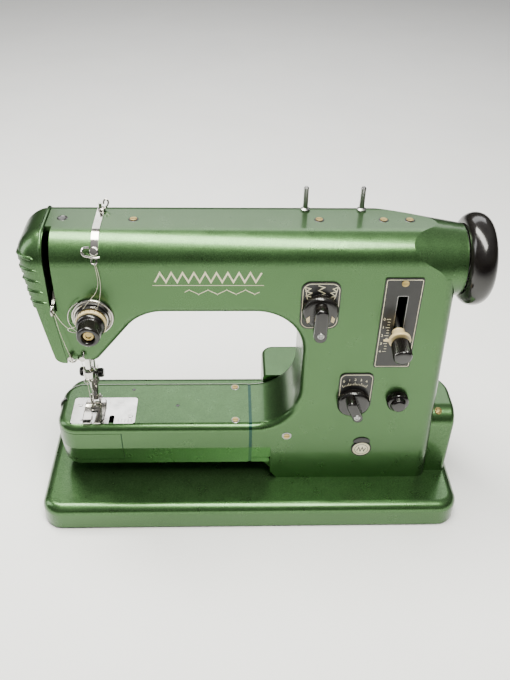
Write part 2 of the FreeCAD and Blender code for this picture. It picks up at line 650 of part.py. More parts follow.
def make_drive():
    node("main_shaft", rod("shaft_radius", "wheel_left + wheel_width - main_left", "main_left",
                           "main_y", "main_z", "X"))
    node("lower_shaft", join(
        rod("shaft_radius", "pillar_right_low - (needle_x + 12)", "needle_x + 12", "lower_y",
            "bed_top - lower_drop", "X"),
        cone("4", "8", "4", "needle_x + 8", "lower_y", "bed_top - lower_drop", "X")))
    node("shaft_bushes", group(
        bush("left_bush_x", "main_y", "main_z"),
        bush("right_bush_x", "main_y", "main_z"),
        bush("bed_bush_x", "lower_y", "bed_top - lower_drop"),
        bush("pillar_right_low - 12", "lower_y", "bed_top - lower_drop")))
    for label, y, z in (("upper_sprocket", "main_y", "main_z"),
                        ("lower_sprocket", "lower_y", "bed_top - lower_drop")):
        wheel = join(rod(label + " - belt_gap", "belt_width + 2", "sprocket_x - 1", y, z, "X"),
                     rod("shaft_radius + 3", "18", "sprocket_x - 5", y, z, "X"))
        node(label, cut(wheel, rod("shaft_radius", "40", "sprocket_x - 15", y, z, "X")))
    belt("timing_belt", "sprocket_x", "upper_sprocket", "main_y", "main_z",
         "lower_sprocket", "lower_y", "bed_top - lower_drop")
    node("lower_pulley", cut(
        rod("lower_pulley - belt_gap", "pulley_width", "pulley_x", "lower_y", "bed_top - lower_drop", "X"),
        rod("shaft_radius", "20", "pulley_x - 5", "lower_y", "bed_top - lower_drop", "X")))
    belt("motor_belt", "pulley_x", "lower_pulley", "lower_y", "bed_top - lower_drop",
         "motor_pulley", "motor_y", "motor_z")
    node("crank_disc", cut(
        join(rod("crank_radius", "crank_width", "main_left - 4", "main_y", "main_z", "X"),
             rod("4", "6", "main_left - 9", "main_y + 13", "main_z", "X")),
        rod("shaft_radius", "crank_width + 8", "main_left", "main_y", "main_z", "X")))
    node("motor", cut(
        join(rod("motor_radius", "motor_right - motor_left", "motor_left", "motor_y", "motor_z",
                 "X"),
             block("motor_left + 12", "motor_right - 12", "motor_y - 14", "motor_y + 14",
                   "base_top", "motor_z")),
        rod("3 + shaft_gap", "60", "motor_right - 50", "motor_y", "motor_z", "X")))
    node("motor_rotor", join(
        rod("3", "pulley_x + pulley_width + 2 - (motor_right - 45)", "motor_right - 45",
            "motor_y", "motor_z", "X"),
        rod("motor_pulley - belt_gap", "pulley_width", "pulley_x", "motor_y", "motor_z", "X")))


def make_handwheel():
    rim = "wheel_radius - wheel_rim"
    profile = [("shaft_radius", "6"), ("14", "3"), (rim + " - 1", "3"), (rim + " + 2", "0"),
               ("wheel_radius - 3.5", "0"), ("wheel_radius", "wheel_width * 0.3"),
               ("wheel_radius", "wheel_width * 0.7"), ("wheel_radius - 3.5", "wheel_width"),
               (rim + " + 2", "wheel_width"), (rim + " - 3", "wheel_width - 4"),
               ("clutch_radius + 2", "wheel_width - 7"), ("shaft_radius", "wheel_width - 7")]
    node("handwheel", turned(profile, "wheel_left", "main_y", "main_z", "X"))
    knob = [("shaft_radius", "wheel_width - 7"), ("clutch_radius", "wheel_width - 7"),
            ("clutch_radius", "wheel_width - 1"), ("clutch_radius - 2", "wheel_width + 1"),
            ("0", "wheel_width + 1"), ("0", "wheel_width"), ("shaft_radius", "wheel_width")]
    node("clutch_knob", turned(knob, "wheel_left", "main_y", "main_z", "X"))


# ---------------------------------------------------------------- head mechanism

def bar_bush(x, y, z):
    return cut(rod("bar_radius + 2", "arm_wall + 2", x, y, z),
               rod("bar_radius + bar_gap", "arm_wall + 6", x, y, "%s - 2" % z))


def make_needle_drive():
    node("needle_bar", rod("bar_radius", "bar_top - needle_bar_low", "needle_x", "needle_y",
                           "needle_bar_low"))
    clamp = cut(rod("clamp_radius", "clamp_length", "needle_x", "needle_y", "clamp_low"),
                rod("bar_radius", "clamp_length", "needle_x", "needle_y", "needle_bar_low"),
                rod("needle_radius * 2", "4", "needle_x", "needle_y", "clamp_low - 1"))
    node("needle_clamp", clamp)
    node("needle_screw", join(
        rod("1.5", "6", "needle_x + clamp_radius", "needle_y", "clamp_low + 8", "X"),
        turned([("0", "0"), ("3.2", "0"), ("4", "1.2"), ("4", "3.6"), ("3.2", "4.8"),
                ("0", "4.8")],
               "needle_x + clamp_radius + 4", "needle_y", "clamp_low + 8", "X")))
    node("needle", join(
        rod("needle_radius * 2", "needle_bar_low - clamp_low + 4", "needle_x", "needle_y",
            "clamp_low - 4"),
        rod("needle_radius", "clamp_low - 4 - (needle_tip + 3)", "needle_x", "needle_y",
            "needle_tip + 3"),
        cone("0.1", "needle_radius", "3", "needle_x", "needle_y", "needle_tip")))
    node("bar_bushes", group(
        bar_bush("needle_x", "needle_y", "head_bottom - 1"),
        bar_bush("needle_x", "needle_y", "head_bottom + 52"),
        bar_bush("needle_x", "presser_y", "head_bottom - 1"),
        bar_bush("needle_x", "presser_y", "head_bottom + 52")))


def make_presser():
    node("presser_bar", rod("bar_radius", "bar_top - 20 - (foot_hinge_z + 22)", "needle_x",
                            "presser_y", "foot_hinge_z + 22"))
    shank = join(
        cut(block("needle_x - 4.5", "needle_x + 4.5", "presser_y - 5", "presser_y + 5",
                  "foot_hinge_z + 18", "foot_hinge_z + 34"),
            rod("bar_radius", "20", "needle_x", "presser_y", "foot_hinge_z + 22")),
        block("needle_x - 2.6", "needle_x + 2.6", "presser_y - 4", "presser_y + 1",
              "foot_hinge_z - 2", "foot_hinge_z + 18"),
        block("needle_x - 2.6", "needle_x + 2.6", "foot_hinge_y - 2.5", "presser_y - 2",
              "foot_hinge_z - 2.5", "foot_hinge_z + 3"))
    node("foot_shank", cut(shank, rod("1 + shaft_gap", "12", "needle_x - 6", "foot_hinge_y",
                                      "foot_hinge_z", "X")))
    node("foot_screw", join(
        rod("1.5", "4", "needle_x - 4.5", "presser_y", "foot_hinge_z + 28", "-X"),
        turned([("0", "0"), ("3.4", "0"), ("4.2", "1.2"), ("4.2", "4"), ("3.4", "5.2"),
                ("0", "5.2")],
               "needle_x - 7.5", "presser_y", "foot_hinge_z + 28", "-X")))
    low = "bed_top + sole_gap"
    high = "bed_top + sole_gap + sole_thick"
    sole = block("needle_x - 10.5", "needle_x + 10.5", "needle_y - 16", "foot_hinge_y + 3",
                 low, high)
    ears = [block("needle_x + %s" % side, "needle_x + %s + 2" % side, "foot_hinge_y - 3",
                  "foot_hinge_y + 3", high + " - 0.2", "foot_hinge_z + 2.5")
            for side in ("(-5)", "3")]
    pin = rod("1", "10", "needle_x - 5", "foot_hinge_y", "foot_hinge_z", "X")
    window = block("needle_x - 4.5", "needle_x + 4.5", "needle_y - 4", "needle_y + 4.5",
                   "bed_top - 1", "bed_top + 4")
    split = block("needle_x - 1.6", "needle_x + 1.6", "needle_y - 17", "needle_y",
                  "bed_top - 1", "bed_top + 4")
    node("foot_sole", cut(join(sole, pin, *ears), window, split))
    lever = join(
        rod("spindle_radius", "18", "head_heel + 10", "arm_back - 8", "head_bottom + 30", "Y"),
        rod("7", "4", "head_heel + 10", "arm_back + 0.5", "head_bottom + 30", "Y"),
        block("head_heel + 6", "head_heel + 14", "arm_back + 0.5", "arm_back + 4.5",
              "head_bottom + 2", "head_bottom + 30"),
        rod("5", "7", "head_heel + 10", "arm_back + 0.5", "head_bottom + 2", "Y"))
    node("lifter_lever", lever)


def make_take_up():
    """Flat lever from its pivot inside the head out through the slot to the thread eye."""
    pivot = Vector(0, value("take_up_y"), value("take_up_z"))
    eye = Vector(0, value("eye_y"), value("eye_z"))
    along = eye.sub(pivot)
    turn = Rotation(Vector(1, 0, 0), math.degrees(math.atan2(along.z, along.y)))
    bar = doc.addObject("Part::Box", "LeverBar")
    bar.Length = 2.4
    bar.Width = along.Length
    bar.Height = 5
    bar.Placement = Placement(Vector(value("take_up_x") - 1.2, pivot.y, pivot.z)
                              + turn.multVec(Vector(0, 0, -2.5)), turn)
    hub = rod("6", "2.4", "take_up_x - 1.2", "take_up_y", "take_up_z", "X")
    ring = rod("4.2", "2.4", "take_up_x - 1.2", "eye_y", "eye_z", "X")
    hole = rod("1.2", "8", "take_up_x - 4", "eye_y", "eye_z", "X")
    node("take_up_lever", cut(join(bar, hub, ring), hole))


def make_hook():
    """Rotating hook on its short cross shaft, the fixed bobbin case and its bobbin."""
    cup = cut(rod("hook_radius", "hook_back - hook_front", "needle_x", "hook_front", "bed_top - lower_drop",
                  "Y"),
              rod("hook_radius - 3", "hook_back - hook_front - 2", "needle_x", "hook_front - 1",
                  "bed_top - lower_drop", "Y"))
    node("hook", join(
        cup,
        rod("4", "12", "needle_x", "hook_back - 1", "bed_top - lower_drop", "Y"),
        cone("8", "4", "4", "needle_x", "lower_y - 12.5", "bed_top - lower_drop", "Y")))
    case = cut(rod("case_radius", "case_length", "needle_x", "case_front", "bed_top - lower_drop", "Y"),
               rod("case_radius - 1", "case_length", "needle_x", "case_front + 2", "bed_top - lower_drop",
                   "Y"))
    stand = block("needle_x - 3", "needle_x + 3", "case_front + 4", "case_front + 8",
                  "bed_top - bed_height + bed_wall", "bed_top - lower_drop - case_radius + 0.5")
    post = rod("2.5", "case_length - 1", "needle_x", "case_front + 1", "bed_top - lower_drop", "Y")
    node("bobbin_case", join(case, post, stand))
    spool = cut(join(rod("case_radius - 1.6", "1.2", "needle_x", "case_front + 3",
                         "bed_top - lower_drop", "Y"),
                     rod("case_radius - 1.6", "1.2", "needle_x", "case_front + 11", "bed_top - lower_drop",
                         "Y"),
                     rod("4", "9.2", "needle_x", "case_front + 3", "bed_top - lower_drop", "Y")),
                rod("2.5 + shaft_gap", "14", "needle_x", "case_front + 2", "bed_top - lower_drop", "Y"))
    node("bobbin", spool)
    rows = [block("needle_x + %s" % (side + 0.3), "needle_x + %s" % (side + 1.7),
                  "needle_y - 6", "needle_y + 10", "bed_top - 5", "bed_top - 0.4")
            for side in (-6, 4)]
    node("feed_dog", join(*rows, block("needle_x - 8", "needle_x + 8", "needle_y + 4",
                                       "needle_y + 10", "bed_top - 7", "bed_top - 4")))


# ---------------------------------------------------------------- front controls

def panel(left, right, low, top, corner):
    body = prism("XZ_Plane", "arm_front - panel_thick", "arm_front",
                 [(left, low), (right, low), (right, top), (left, top)])
    return soften(body, corner, *[corner_test(x, z) for x in (left, right) for z in (low, top)])


def make_panels():
    node("selector_plate", cut(
        panel("selector_plate_left", "selector_plate_right", "selector_plate_low",
              "selector_plate_top", "8"),
        rod("spindle_radius + shaft_gap", "20", "selector_x", "arm_front - 10", "selector_z", "Y")))
    node("length_plate", cut(
        panel("length_left", "length_right", "length_low", "length_top", "2"),
        block("lever_x - 4", "lever_x + 4", "arm_front - 5", "arm_front + 5",
              "lever_z - lever_slot_down", "lever_z + lever_slot_up")))
    node("width_plate", cut(
        panel("width_left", "width_right", "width_low", "width_top", "6"),
        rod("spindle_radius + shaft_gap", "20", "width_x", "arm_front - 10", "width_z", "Y")))
    node("badge", turned([("0", "0"), ("badge_radius", "0"), ("badge_radius", "0.8"),
                          ("badge_radius - 0.8", "1.4"), ("0", "1.4")],
                         "badge_x", "arm_front", "badge_z", "-Y"))


def bar_knob(label, x, z, radius, bar_half, bar_low, bar_high, turn_to, seat):
    """Round knob with a raised finger bar through its middle and a spindle into the casting."""
    skirt = turned([("0", "0"), (radius, "0"), (radius, "skirt_thick - 2"),
                    ("(%s) - 1.5" % radius, "skirt_thick"), ("0", "skirt_thick")],
                   x, seat, z, "-Y")
    handle = prism("XZ_Plane", "-knob_reach", "-skirt_thick",
                   [("-(%s)" % bar_half, bar_low), (bar_half, bar_low), (bar_half, bar_high),
                    ("-(%s)" % bar_half, bar_high)])
    soften(handle, "(%s) - 0.2" % bar_half,
           *[line_test(x=sign * value(bar_half), z=value(end))
             for sign in (-1, 1) for end in (bar_low, bar_high)])
    place(handle, x, seat, z)
    handle.Placement.Rotation = Rotation(Vector(0, 1, 0), turn_to)
    spindle = rod("spindle_radius", "16", x, seat, z, "Y")
    node(label, join(skirt, handle, spindle))


def make_controls():
    seat = "arm_front - panel_thick - 0.3"
    bar_knob("selector_knob", "selector_x", "selector_z", "selector_skirt", "5.8", "-23", "11", 0, seat)
    bar_knob("width_knob", "width_x", "width_z", "width_skirt", "5", "-12", "14", -24, seat)
    node("small_dial", join(
        turned([("0", "0"), ("10", "0"), ("10", "6"), ("8.5", "7"), ("7", "9.5"), ("0", "9.5")],
               "dial_x", "arm_front - 0.3", "dial_z", "-Y"),
        rod("spindle_radius", "16", "dial_x", "arm_front - 0.3", "dial_z", "Y")))
    tilt = Rotation(Vector(1, 0, 0), 90 + value("lever_tilt"))
    pivot = Vector(value("lever_x"), value("arm_front + lever_reach"), value("lever_z"))
    reach = value("lever_reach") / math.cos(math.radians(value("lever_tilt")))
    stem = bind(doc.addObject("Part::Cylinder", "Stem"), Radius="2.4")
    stem.Height = reach + 26
    stem.Placement = Placement(pivot, tilt)
    hub = rod("6", "10", "lever_x - 5", "arm_front + lever_reach", "lever_z", "X")
    node("length_lever", join(stem, hub))
    lift = tilt.multVec(Vector(0, 0, 1))
    for label, start, profile in (
            ("lever_collar", reach + 3,
             [("2.4", "0"), ("4.5", "0"), ("6", "5"), ("9.5", "9"), ("9.5", "11.5"),
              ("2.4", "11.5")]),
            ("lever_grip", reach + 15,
             [("2.4", "0"), ("6.4", "0"), ("8", "2"), ("8", "17"), ("6.5", "20"), ("0", "20"),
              ("0", "11"), ("2.4", "11")])):
        piece = turned(profile, "0", "0", "0")
        for letter in "xyz":
            piece.setExpression("Placement.Base." + letter, None)
        piece.Placement = Placement(pivot + lift * start, tilt)
        node(label, piece)


def make_tension():
    """Tension unit on the head: base ring, discs, check spring, numbered ring and knob."""
    at = ("tension_x", "arm_front", "tension_z", "-Y")
    bore = "spindle_radius + slip_gap"
    node("tension_base", join(
        turned([("0", "0"), ("16", "0"), ("16", "2"), ("14.5", "3.4"), ("spindle_radius", "3.4"),
                ("spindle_radius", "20"), ("0", "20")], *at),
        rod("spindle_radius", "8", "tension_x", "arm_front", "tension_z", "Y")))
    discs = []
    for start in (4.5, 6.2):
        discs.append(turned([(bore, str(start)), ("12.5", str(start)),
                             ("12.5", str(start + 1)), (bore, str(start + 1))], *at))
    node("tension_discs", group(*discs))
    node("tension_ring", turned([(bore, "8.4"), ("12.8", "8.4"), ("12.8", "14.5"),
                                 ("11.5", "17"), (bore, "17")], *at))
    node("tension_knob", turned([(bore, "17"), ("9.6", "17"), ("9.6", "30"), ("8.6", "31"),
                                 ("6", "31"), ("5.4", "27.5"), ("0", "27.5"), ("0", "21"),
                                 (bore, "21")], *at))
    spring_y = "arm_front - 3.65"
    ring = cut(rod("15.5", "0.6", "tension_x", spring_y, "tension_z", "-Y"),
               rod("14.7", "2", "tension_x", "arm_front - 2.5", "tension_z", "-Y"))
    arc = common(ring, block("tension_x - 17", "tension_x - 7", "arm_front - 6", "arm_front",
                             "tension_z - 14", "tension_z + 14"))
    spoke = block("tension_x - 15.1", "tension_x - 4", "arm_front - 4.25", spring_y,
                  "tension_z - 0.4", "tension_z + 0.4")
    collar = turned([("spindle_radius + shaft_gap", "3.65"), ("4.6", "3.65"), ("4.6", "4.25"),
                     ("spindle_radius + shaft_gap", "4.25")], *at)
    node("check_spring", join(arc, spoke, collar))


def make_trim():
    node("spool_pin_left", spool_pin("pin_left"))
    node("spool_pin_right", spool_pin("pin_right"))
    screws = [slotted_screw("screw_radius", "0.8", x, "-22", "arm_top")
              for x in ("-100", "54", "108", "130")]
    screws += [slotted_screw("screw_radius", "0.8", "-15.5", y, "bed_top") for y in ("-50", "-2")]
    screws.append(slotted_screw("screw_radius", "0.8", "34", "arm_front", "86.5", "-Y"))
    screws.append(slotted_screw("screw_radius", "0.8", "lever_x", "arm_front - panel_thick",
                                "length_top - 4.5", "-Y"))
    node("slotted_screws", group(*screws))
    sides = ("strap_x - strap_width / 2", "strap_x + strap_width / 2")
    curve = common(
        cut(rod("arm_edge + strap_thick", "strap_width", sides[0], "arm_front + arm_edge",
                "arm_top - arm_edge", "X"),
            rod("arm_edge", "strap_width + 2", sides[0] + " - 1", "arm_front + arm_edge",
                "arm_top - arm_edge", "X")),
        block(*sides, "arm_front - 3", "arm_front + arm_edge", "arm_top - arm_edge / 2",
              "arm_top + 3"))
    flat = block(*sides, "arm_front + arm_edge", "arm_back - arm_back_edge", "arm_top",
                 "arm_top + strap_thick")
    post = rod("1.3", "7", "strap_x", "arm_back - arm_back_edge - 4", "arm_top + 0.5")
    node("thread_strap", join(curve, flat, post))
    guide = []
    for x in ("head_heel + 4", "head_heel + 14"):
        guide.append(join(rod("1", "5", x, "arm_front", "head_bottom + 8", "-Y"),
                          rod("2.6", "1", x, "arm_front - 4", "head_bottom + 8", "-Y")))
    node("thread_guides", group(*guide))


def spool_pin(x):
    """Pin with a low collar and a chamfered tip."""
    return turned([("0", "0"), ("4", "0"), ("4", "1.5"), ("pin_radius", "2.5"),
                   ("pin_radius", "pin_rise - 1.5"), ("pin_radius - 1", "pin_rise"),
                   ("0", "pin_rise")], x, "pin_y", "arm_top")


# ---------------------------------------------------------------- build and write

make_base()
make_free_arm()
make_needle_plate()
make_casting()
make_face_cover()
make_housing()
make_drive()
make_handwheel()
make_needle_drive()
make_presser()
make_take_up()
make_hook()
make_panels()
make_controls()
make_tension()
make_trim()
doc.recompute()

for obj in doc.Objects:
    if "Invalid" in obj.State or "Error" in obj.State:
        raise RuntimeError("failed object: %s (%s) %s" % (obj.Name, obj.Label, obj.State))

os.makedirs("parts", exist_ok=True)
for label, obj in nodes.items():
    shape = obj.Shape
    if shape.isNull() or not shape.isValid() or not shape.Solids:
        raise RuntimeError("bad shape: " + label)
    shape.exportStep("parts/%s.step" % label)
print(len(nodes), "nodes written")
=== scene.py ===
import json
import math

import bmesh
import bpy
from mathutils import Matrix, Vector
from mathutils.bvhtree import BVHTree


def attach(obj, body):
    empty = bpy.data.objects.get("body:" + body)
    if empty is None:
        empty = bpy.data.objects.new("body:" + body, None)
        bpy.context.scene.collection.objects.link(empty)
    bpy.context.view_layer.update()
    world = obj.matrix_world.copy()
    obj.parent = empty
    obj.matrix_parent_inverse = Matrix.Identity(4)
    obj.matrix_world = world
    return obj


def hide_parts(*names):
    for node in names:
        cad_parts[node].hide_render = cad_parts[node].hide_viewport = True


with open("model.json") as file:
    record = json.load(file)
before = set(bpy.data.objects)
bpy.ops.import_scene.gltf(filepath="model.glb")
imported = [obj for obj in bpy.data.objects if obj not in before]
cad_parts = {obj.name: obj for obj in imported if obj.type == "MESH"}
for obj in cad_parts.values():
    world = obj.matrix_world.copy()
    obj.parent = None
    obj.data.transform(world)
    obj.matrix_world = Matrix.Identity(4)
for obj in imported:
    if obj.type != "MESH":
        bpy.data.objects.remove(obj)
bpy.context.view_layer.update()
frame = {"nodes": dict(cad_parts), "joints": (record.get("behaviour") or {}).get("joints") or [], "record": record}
NODES = frame["nodes"]
MM = 0.001
PIVOT = {joint["name"]: Vector(joint["pos_m"]) / MM
         for joint in frame["joints"] if joint["type"] == "hinge"}

# Planes that the details stand on, in millimetres, and the directions that they face.
FRONT, ARM_TOP, BED = -60.0, 300.0, 98.7
RIGHTWARD, FRONTWARD, UPWARD = (1, 0, 0), (0, -1, 0), (0, 0, 1)


# ---------------------------------------------------------------- materials

class Shader:
    """Small helper around one node material and its principled shader."""

    def __init__(self, name):
        self.material = bpy.data.materials.new(name)
        self.material.use_nodes = True
        self.tree = self.material.node_tree
        self.shader = self.tree.nodes["Principled BSDF"]

    def set(self, **values):
        for name, value in values.items():
            self.shader.inputs[name.replace("_", " ")].default_value = value
        return self

    def add(self, kind, **values):
        node = self.tree.nodes.new("ShaderNode" + kind)
        for name, value in values.items():
            if name in node.inputs:
                node.inputs[name].default_value = value
            else:
                setattr(node, name, value)
        return node

    def link(self, source, target):
        self.tree.links.new(source, target)

    def noise(self, scale, detail=4.0):
        node = self.add("TexNoise", Scale=scale, Detail=detail, Roughness=0.55)
        self.link(self.add("TexCoord").outputs["Object"], node.inputs["Vector"])
        return node.outputs["Fac"]

    def ramp(self, source, stops):
        node = self.add("ValToRGB")
        elements = node.color_ramp.elements
        while len(elements) < len(stops):
            elements.new(0.5)
        for element, (position, color) in zip(elements, stops):
            element.position = position
            element.color = (*color, 1)
        self.link(source, node.inputs["Fac"])
        return node.outputs["Color"]

    def vary_color(self, source, low, high):
        self.link(self.ramp(source, [(0.35, low), (0.65, high)]),
                  self.shader.inputs["Base Color"])

    def vary_roughness(self, source, low, high):
        node = self.add("MapRange")
        node.inputs["From Min"].default_value = 0.3
        node.inputs["From Max"].default_value = 0.7
        node.inputs["To Min"].default_value = low
        node.inputs["To Max"].default_value = high
        self.link(source, node.inputs["Value"])
        self.link(node.outputs["Result"], self.shader.inputs["Roughness"])

    def bump(self, source, strength):
        node = self.add("Bump", Strength=strength, Distance=0.2 * MM)
        self.link(source, node.inputs["Height"])
        self.link(node.outputs["Normal"], self.shader.inputs["Normal"])


def green_paint(name="green_paint", low=(0.015, 0.034, 0.012), high=(0.022, 0.046, 0.017)):
    """Fine metallic enamel under a clear coat: deep green, with bright yellow-green flakes."""
    paint = Shader(name).set(Metallic=0.85, Coat_Weight=0.35, Coat_Roughness=0.10, Coat_IOR=1.4,
                             Specular_IOR_Level=0.3)
    facing = paint.add("LayerWeight", Blend=0.30)
    tone = paint.add("Mix", data_type="RGBA", blend_type="MIX")
    base = paint.ramp(paint.noise(9.0, 3.0), [(0.35, low), (0.65, high)])
    flakes = paint.ramp(paint.noise(1800.0, 2.0), [(0.40, tuple(3.0 * c for c in low)),
                                                   (0.62, tuple(4.4 * c for c in high))])
    paint.link(facing.outputs["Facing"], tone.inputs["Factor"])
    paint.link(flakes, tone.inputs["A"])
    paint.link(base, tone.inputs["B"])
    paint.link(tone.outputs["Result"], paint.shader.inputs["Base Color"])
    paint.vary_roughness(paint.noise(60.0, 6.0), 0.26, 0.34)
    paint.bump(paint.noise(2600.0, 2.0), 0.04)
    return paint.material


def metal(name, low, high, rough_low, rough_high, bump=0.03):
    surface = Shader(name).set(Metallic=1.0)
    surface.vary_color(surface.noise(40.0), low, high)
    surface.vary_roughness(surface.noise(90.0, 5.0), rough_low, rough_high)
    surface.bump(surface.noise(220.0, 3.0), bump)
    return surface.material


def plastic(name, low, high, rough_low, rough_high, bump=0.04, coat=0.3):
    surface = Shader(name).set(Coat_Weight=coat, Coat_Roughness=0.08)
    surface.vary_color(surface.noise(70.0), low, high)
    surface.vary_roughness(surface.noise(120.0, 6.0), rough_low, rough_high)
    surface.bump(surface.noise(900.0, 3.0), bump)
    return surface.material


MATERIALS = {
    "green_paint": green_paint(),
    "seam_paint": green_paint("seam_paint", (0.002, 0.012, 0.008), (0.004, 0.018, 0.012)),
    "dark_steel": metal("dark_steel", (0.04, 0.04, 0.04), (0.07, 0.07, 0.07), 0.45, 0.6),
    "polished_steel": metal("polished_steel", (0.66, 0.65, 0.62), (0.80, 0.79, 0.76), 0.16, 0.30),
    "steel": metal("steel", (0.30, 0.30, 0.30), (0.46, 0.46, 0.45), 0.24, 0.4),
    "chrome": metal("chrome", (0.46, 0.44, 0.40), (0.66, 0.64, 0.60), 0.08, 0.18),
    "brass": metal("brass", (0.30, 0.22, 0.08), (0.52, 0.40, 0.17), 0.25, 0.42),
    "cast_iron": metal("cast_iron", (0.08, 0.08, 0.08), (0.14, 0.14, 0.14), 0.5, 0.7, bump=0.2),
    "black_plastic": plastic("black_plastic", (0.004, 0.003, 0.003), (0.009, 0.008, 0.007),
                             0.14, 0.22, coat=0.2),
    "black_enamel": plastic("black_enamel", (0.004, 0.004, 0.004), (0.009, 0.008, 0.008),
                            0.30, 0.42, coat=0.1),
    "rubber": plastic("rubber", (0.012, 0.012, 0.012), (0.025, 0.025, 0.025), 0.7, 0.85,
                      0.2, 0.0),
    "ivory_plastic": plastic("ivory_plastic", (0.56, 0.43, 0.20), (0.74, 0.61, 0.35), 0.3, 0.4),
    "cream_enamel": plastic("cream_enamel", (0.66, 0.61, 0.40), (0.80, 0.75, 0.54), 0.25, 0.35),
    "thread": plastic("thread", (0.42, 0.40, 0.30), (0.66, 0.63, 0.50), 0.6, 0.8, 0.4, 0.0),
}


def paint(obj, slot):
    obj.data.materials.clear()
    obj.data.materials.append(MATERIALS[slot])


SLOT_OF = {part["node"]: part["material_slot"] for part in frame["record"]["subparts"]}
for node_name, node_obj in NODES.items():
    paint(node_obj, SLOT_OF[node_name])
paint(NODES["collar_strip"], "seam_paint")


# ---------------------------------------------------------------- mesh helpers

def point(x, y, z):
    return Vector((x, y, z)) * MM


def centre_of(joint):
    """Joint position in millimetres, rounded to the micrometre."""
    return [round(value, 3) for value in PIVOT[joint]]


def settle(obj, slot, body):
    """Give a new piece its material and the CAD body that it rides on."""
    bpy.context.scene.collection.objects.link(obj)
    paint(obj, slot)
    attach(obj, body)
    return obj


def finish_mesh(name, form, slot, body, sharp=35):
    """Turn a drawn form into a smooth piece whose edges above the sharp angle stay crisp."""
    bmesh.ops.recalc_face_normals(form, faces=form.faces)
    mesh = bpy.data.meshes.new(name)
    form.to_mesh(mesh)
    form.free()
    mesh.shade_smooth()
    mesh.set_sharp_from_angle(angle=math.radians(sharp))
    return settle(bpy.data.objects.new(name, mesh), slot, body)


def soft_corners(profile, radius, steps=4):
    """Profile with each inner corner replaced by a short smooth curve."""
    result = [Vector(profile[0])]
    for before, corner, after in zip(profile, profile[1:], profile[2:]):
        before, corner, after = Vector(before), Vector(corner), Vector(after)
        to_before, to_after = before - corner, after - corner
        reach = min(radius, to_before.length * 0.45, to_after.length * 0.45)
        start = corner + to_before.normalized() * reach
        end = corner + to_after.normalized() * reach
        for i in range(steps + 1):
            t = i / steps
            result.append(start * (1 - t) ** 2 + corner * 2 * t * (1 - t) + end * t * t)
    result.append(Vector(profile[-1]))
    return result


def add_lathe(form, profile, centre, axis, segments=72, flutes=0, depth=0.0, fluted=(0, 0)):
    """Turned shape around an axis; flutes cut the radius between two heights."""
    turn = Vector(axis).normalized().to_track_quat("Z", "Y")
    rings = []
    for radius, height in profile:
        if radius == 0:
            rings.append([form.verts.new(centre + turn @ Vector((0, 0, height)) * MM)])
            continue
        ring = []
        for i in range(segments):
            angle = 2 * math.pi * i / segments
            local = radius
            if flutes and fluted[0] <= height <= fluted[1]:
                local -= depth * (0.5 + 0.5 * math.cos(flutes * angle))
            ring.append(form.verts.new(centre + turn @ Vector(
                (local * math.cos(angle), local * math.sin(angle), height)) * MM))
        rings.append(ring)
    for lower, upper in zip(rings, rings[1:]):
        for i in range(segments):
            j = (i + 1) % segments
            corners = [lower[i % len(lower)], lower[j % len(lower)],
                       upper[j % len(upper)], upper[i % len(upper)]]
            unique = list(dict.fromkeys(corners))
            if len(unique) > 2:
                form.faces.new(unique)


def lathe(name, profile, centre, axis, slot, body, soft=0.6, **options):
    form = bmesh.new()
    add_lathe(form, soft_corners(profile, soft) if soft else profile, centre, axis, **options)
    return finish_mesh(name, form, slot, body)


def add_stroke(form, corners, width, y, thick=0.07):
    """Painted line on a plate that faces the front: a thin mitred ribbon through X, Z points."""
    corners = [Vector(c) for c in corners]
    closed = (corners[0] - corners[-1]).length < 1e-6
    if closed:
        corners = corners[:-1]
    count = len(corners)
    sides = []
    for i, corner in enumerate(corners):
        before = corners[i - 1] if closed or i else None
        after = corners[(i + 1) % count] if closed or i < count - 1 else None
        into = (corner - before).normalized() if before is not None else (after - corner).normalized()
        out = (after - corner).normalized() if after is not None else into
        normal = Vector((-(into + out).y, (into + out).x)).normalized()
        spread = width / 2 / max(0.35, normal.dot(Vector((-into.y, into.x))))
        pair = []
        for sign in (1, -1):
            spot = corner + normal * spread * sign
            pair.append((form.verts.new(point(spot.x, y, spot.y)),
                         form.verts.new(point(spot.x, y - thick, spot.y))))
        sides.append(pair)
    for i in range(count if closed else count - 1):
        (a, a_top), (b, b_top) = sides[i]
        (c, c_top), (d, d_top) = sides[(i + 1) % count]
        form.faces.new([a_top, b_top, d_top, c_top])
        form.faces.new([a, a_top, c_top, c])
        form.faces.new([b, d, d_top, b_top])


def strokes(name, lines, width, y, slot, body):
    form = bmesh.new()
    for line in lines:
        add_stroke(form, line, width, y)
    return finish_mesh(name, form, slot, body)


def rounded_frame(left, right, low, high, radius, steps=6):
    """Closed rectangle outline with round corners, as X, Z points."""
    outline = []
    for cx, cz, start in ((right - radius, high - radius, 0), (left + radius, high - radius, 90),
                          (left + radius, low + radius, 180), (right - radius, low + radius, 270)):
        for i in range(steps + 1):
            angle = math.radians(start + 90 * i / steps)
            outline.append((cx + radius * math.cos(angle), cz + radius * math.sin(angle)))
    return outline + [outline[0]]


def wire(name, route, radius, slot, body, smooth=True):
    """Bent wire whose smooth line follows the route's control points, in millimetres."""
    data = bpy.data.curves.new(name, "CURVE")
    data.dimensions = "3D"
    data.bevel_depth = radius * MM
    data.bevel_resolution = 4
    data.resolution_u = 8
    data.use_fill_caps = True
    line = data.splines.new("NURBS" if smooth else "POLY")
    line.points.add(len(route) - 1)
    for spot, control in zip(route, line.points):
        control.co = (*point(*spot), 1)
    if smooth:
        line.order_u = 3
        line.use_endpoint_u = True
    return settle(bpy.data.objects.new(name, data), slot, body)


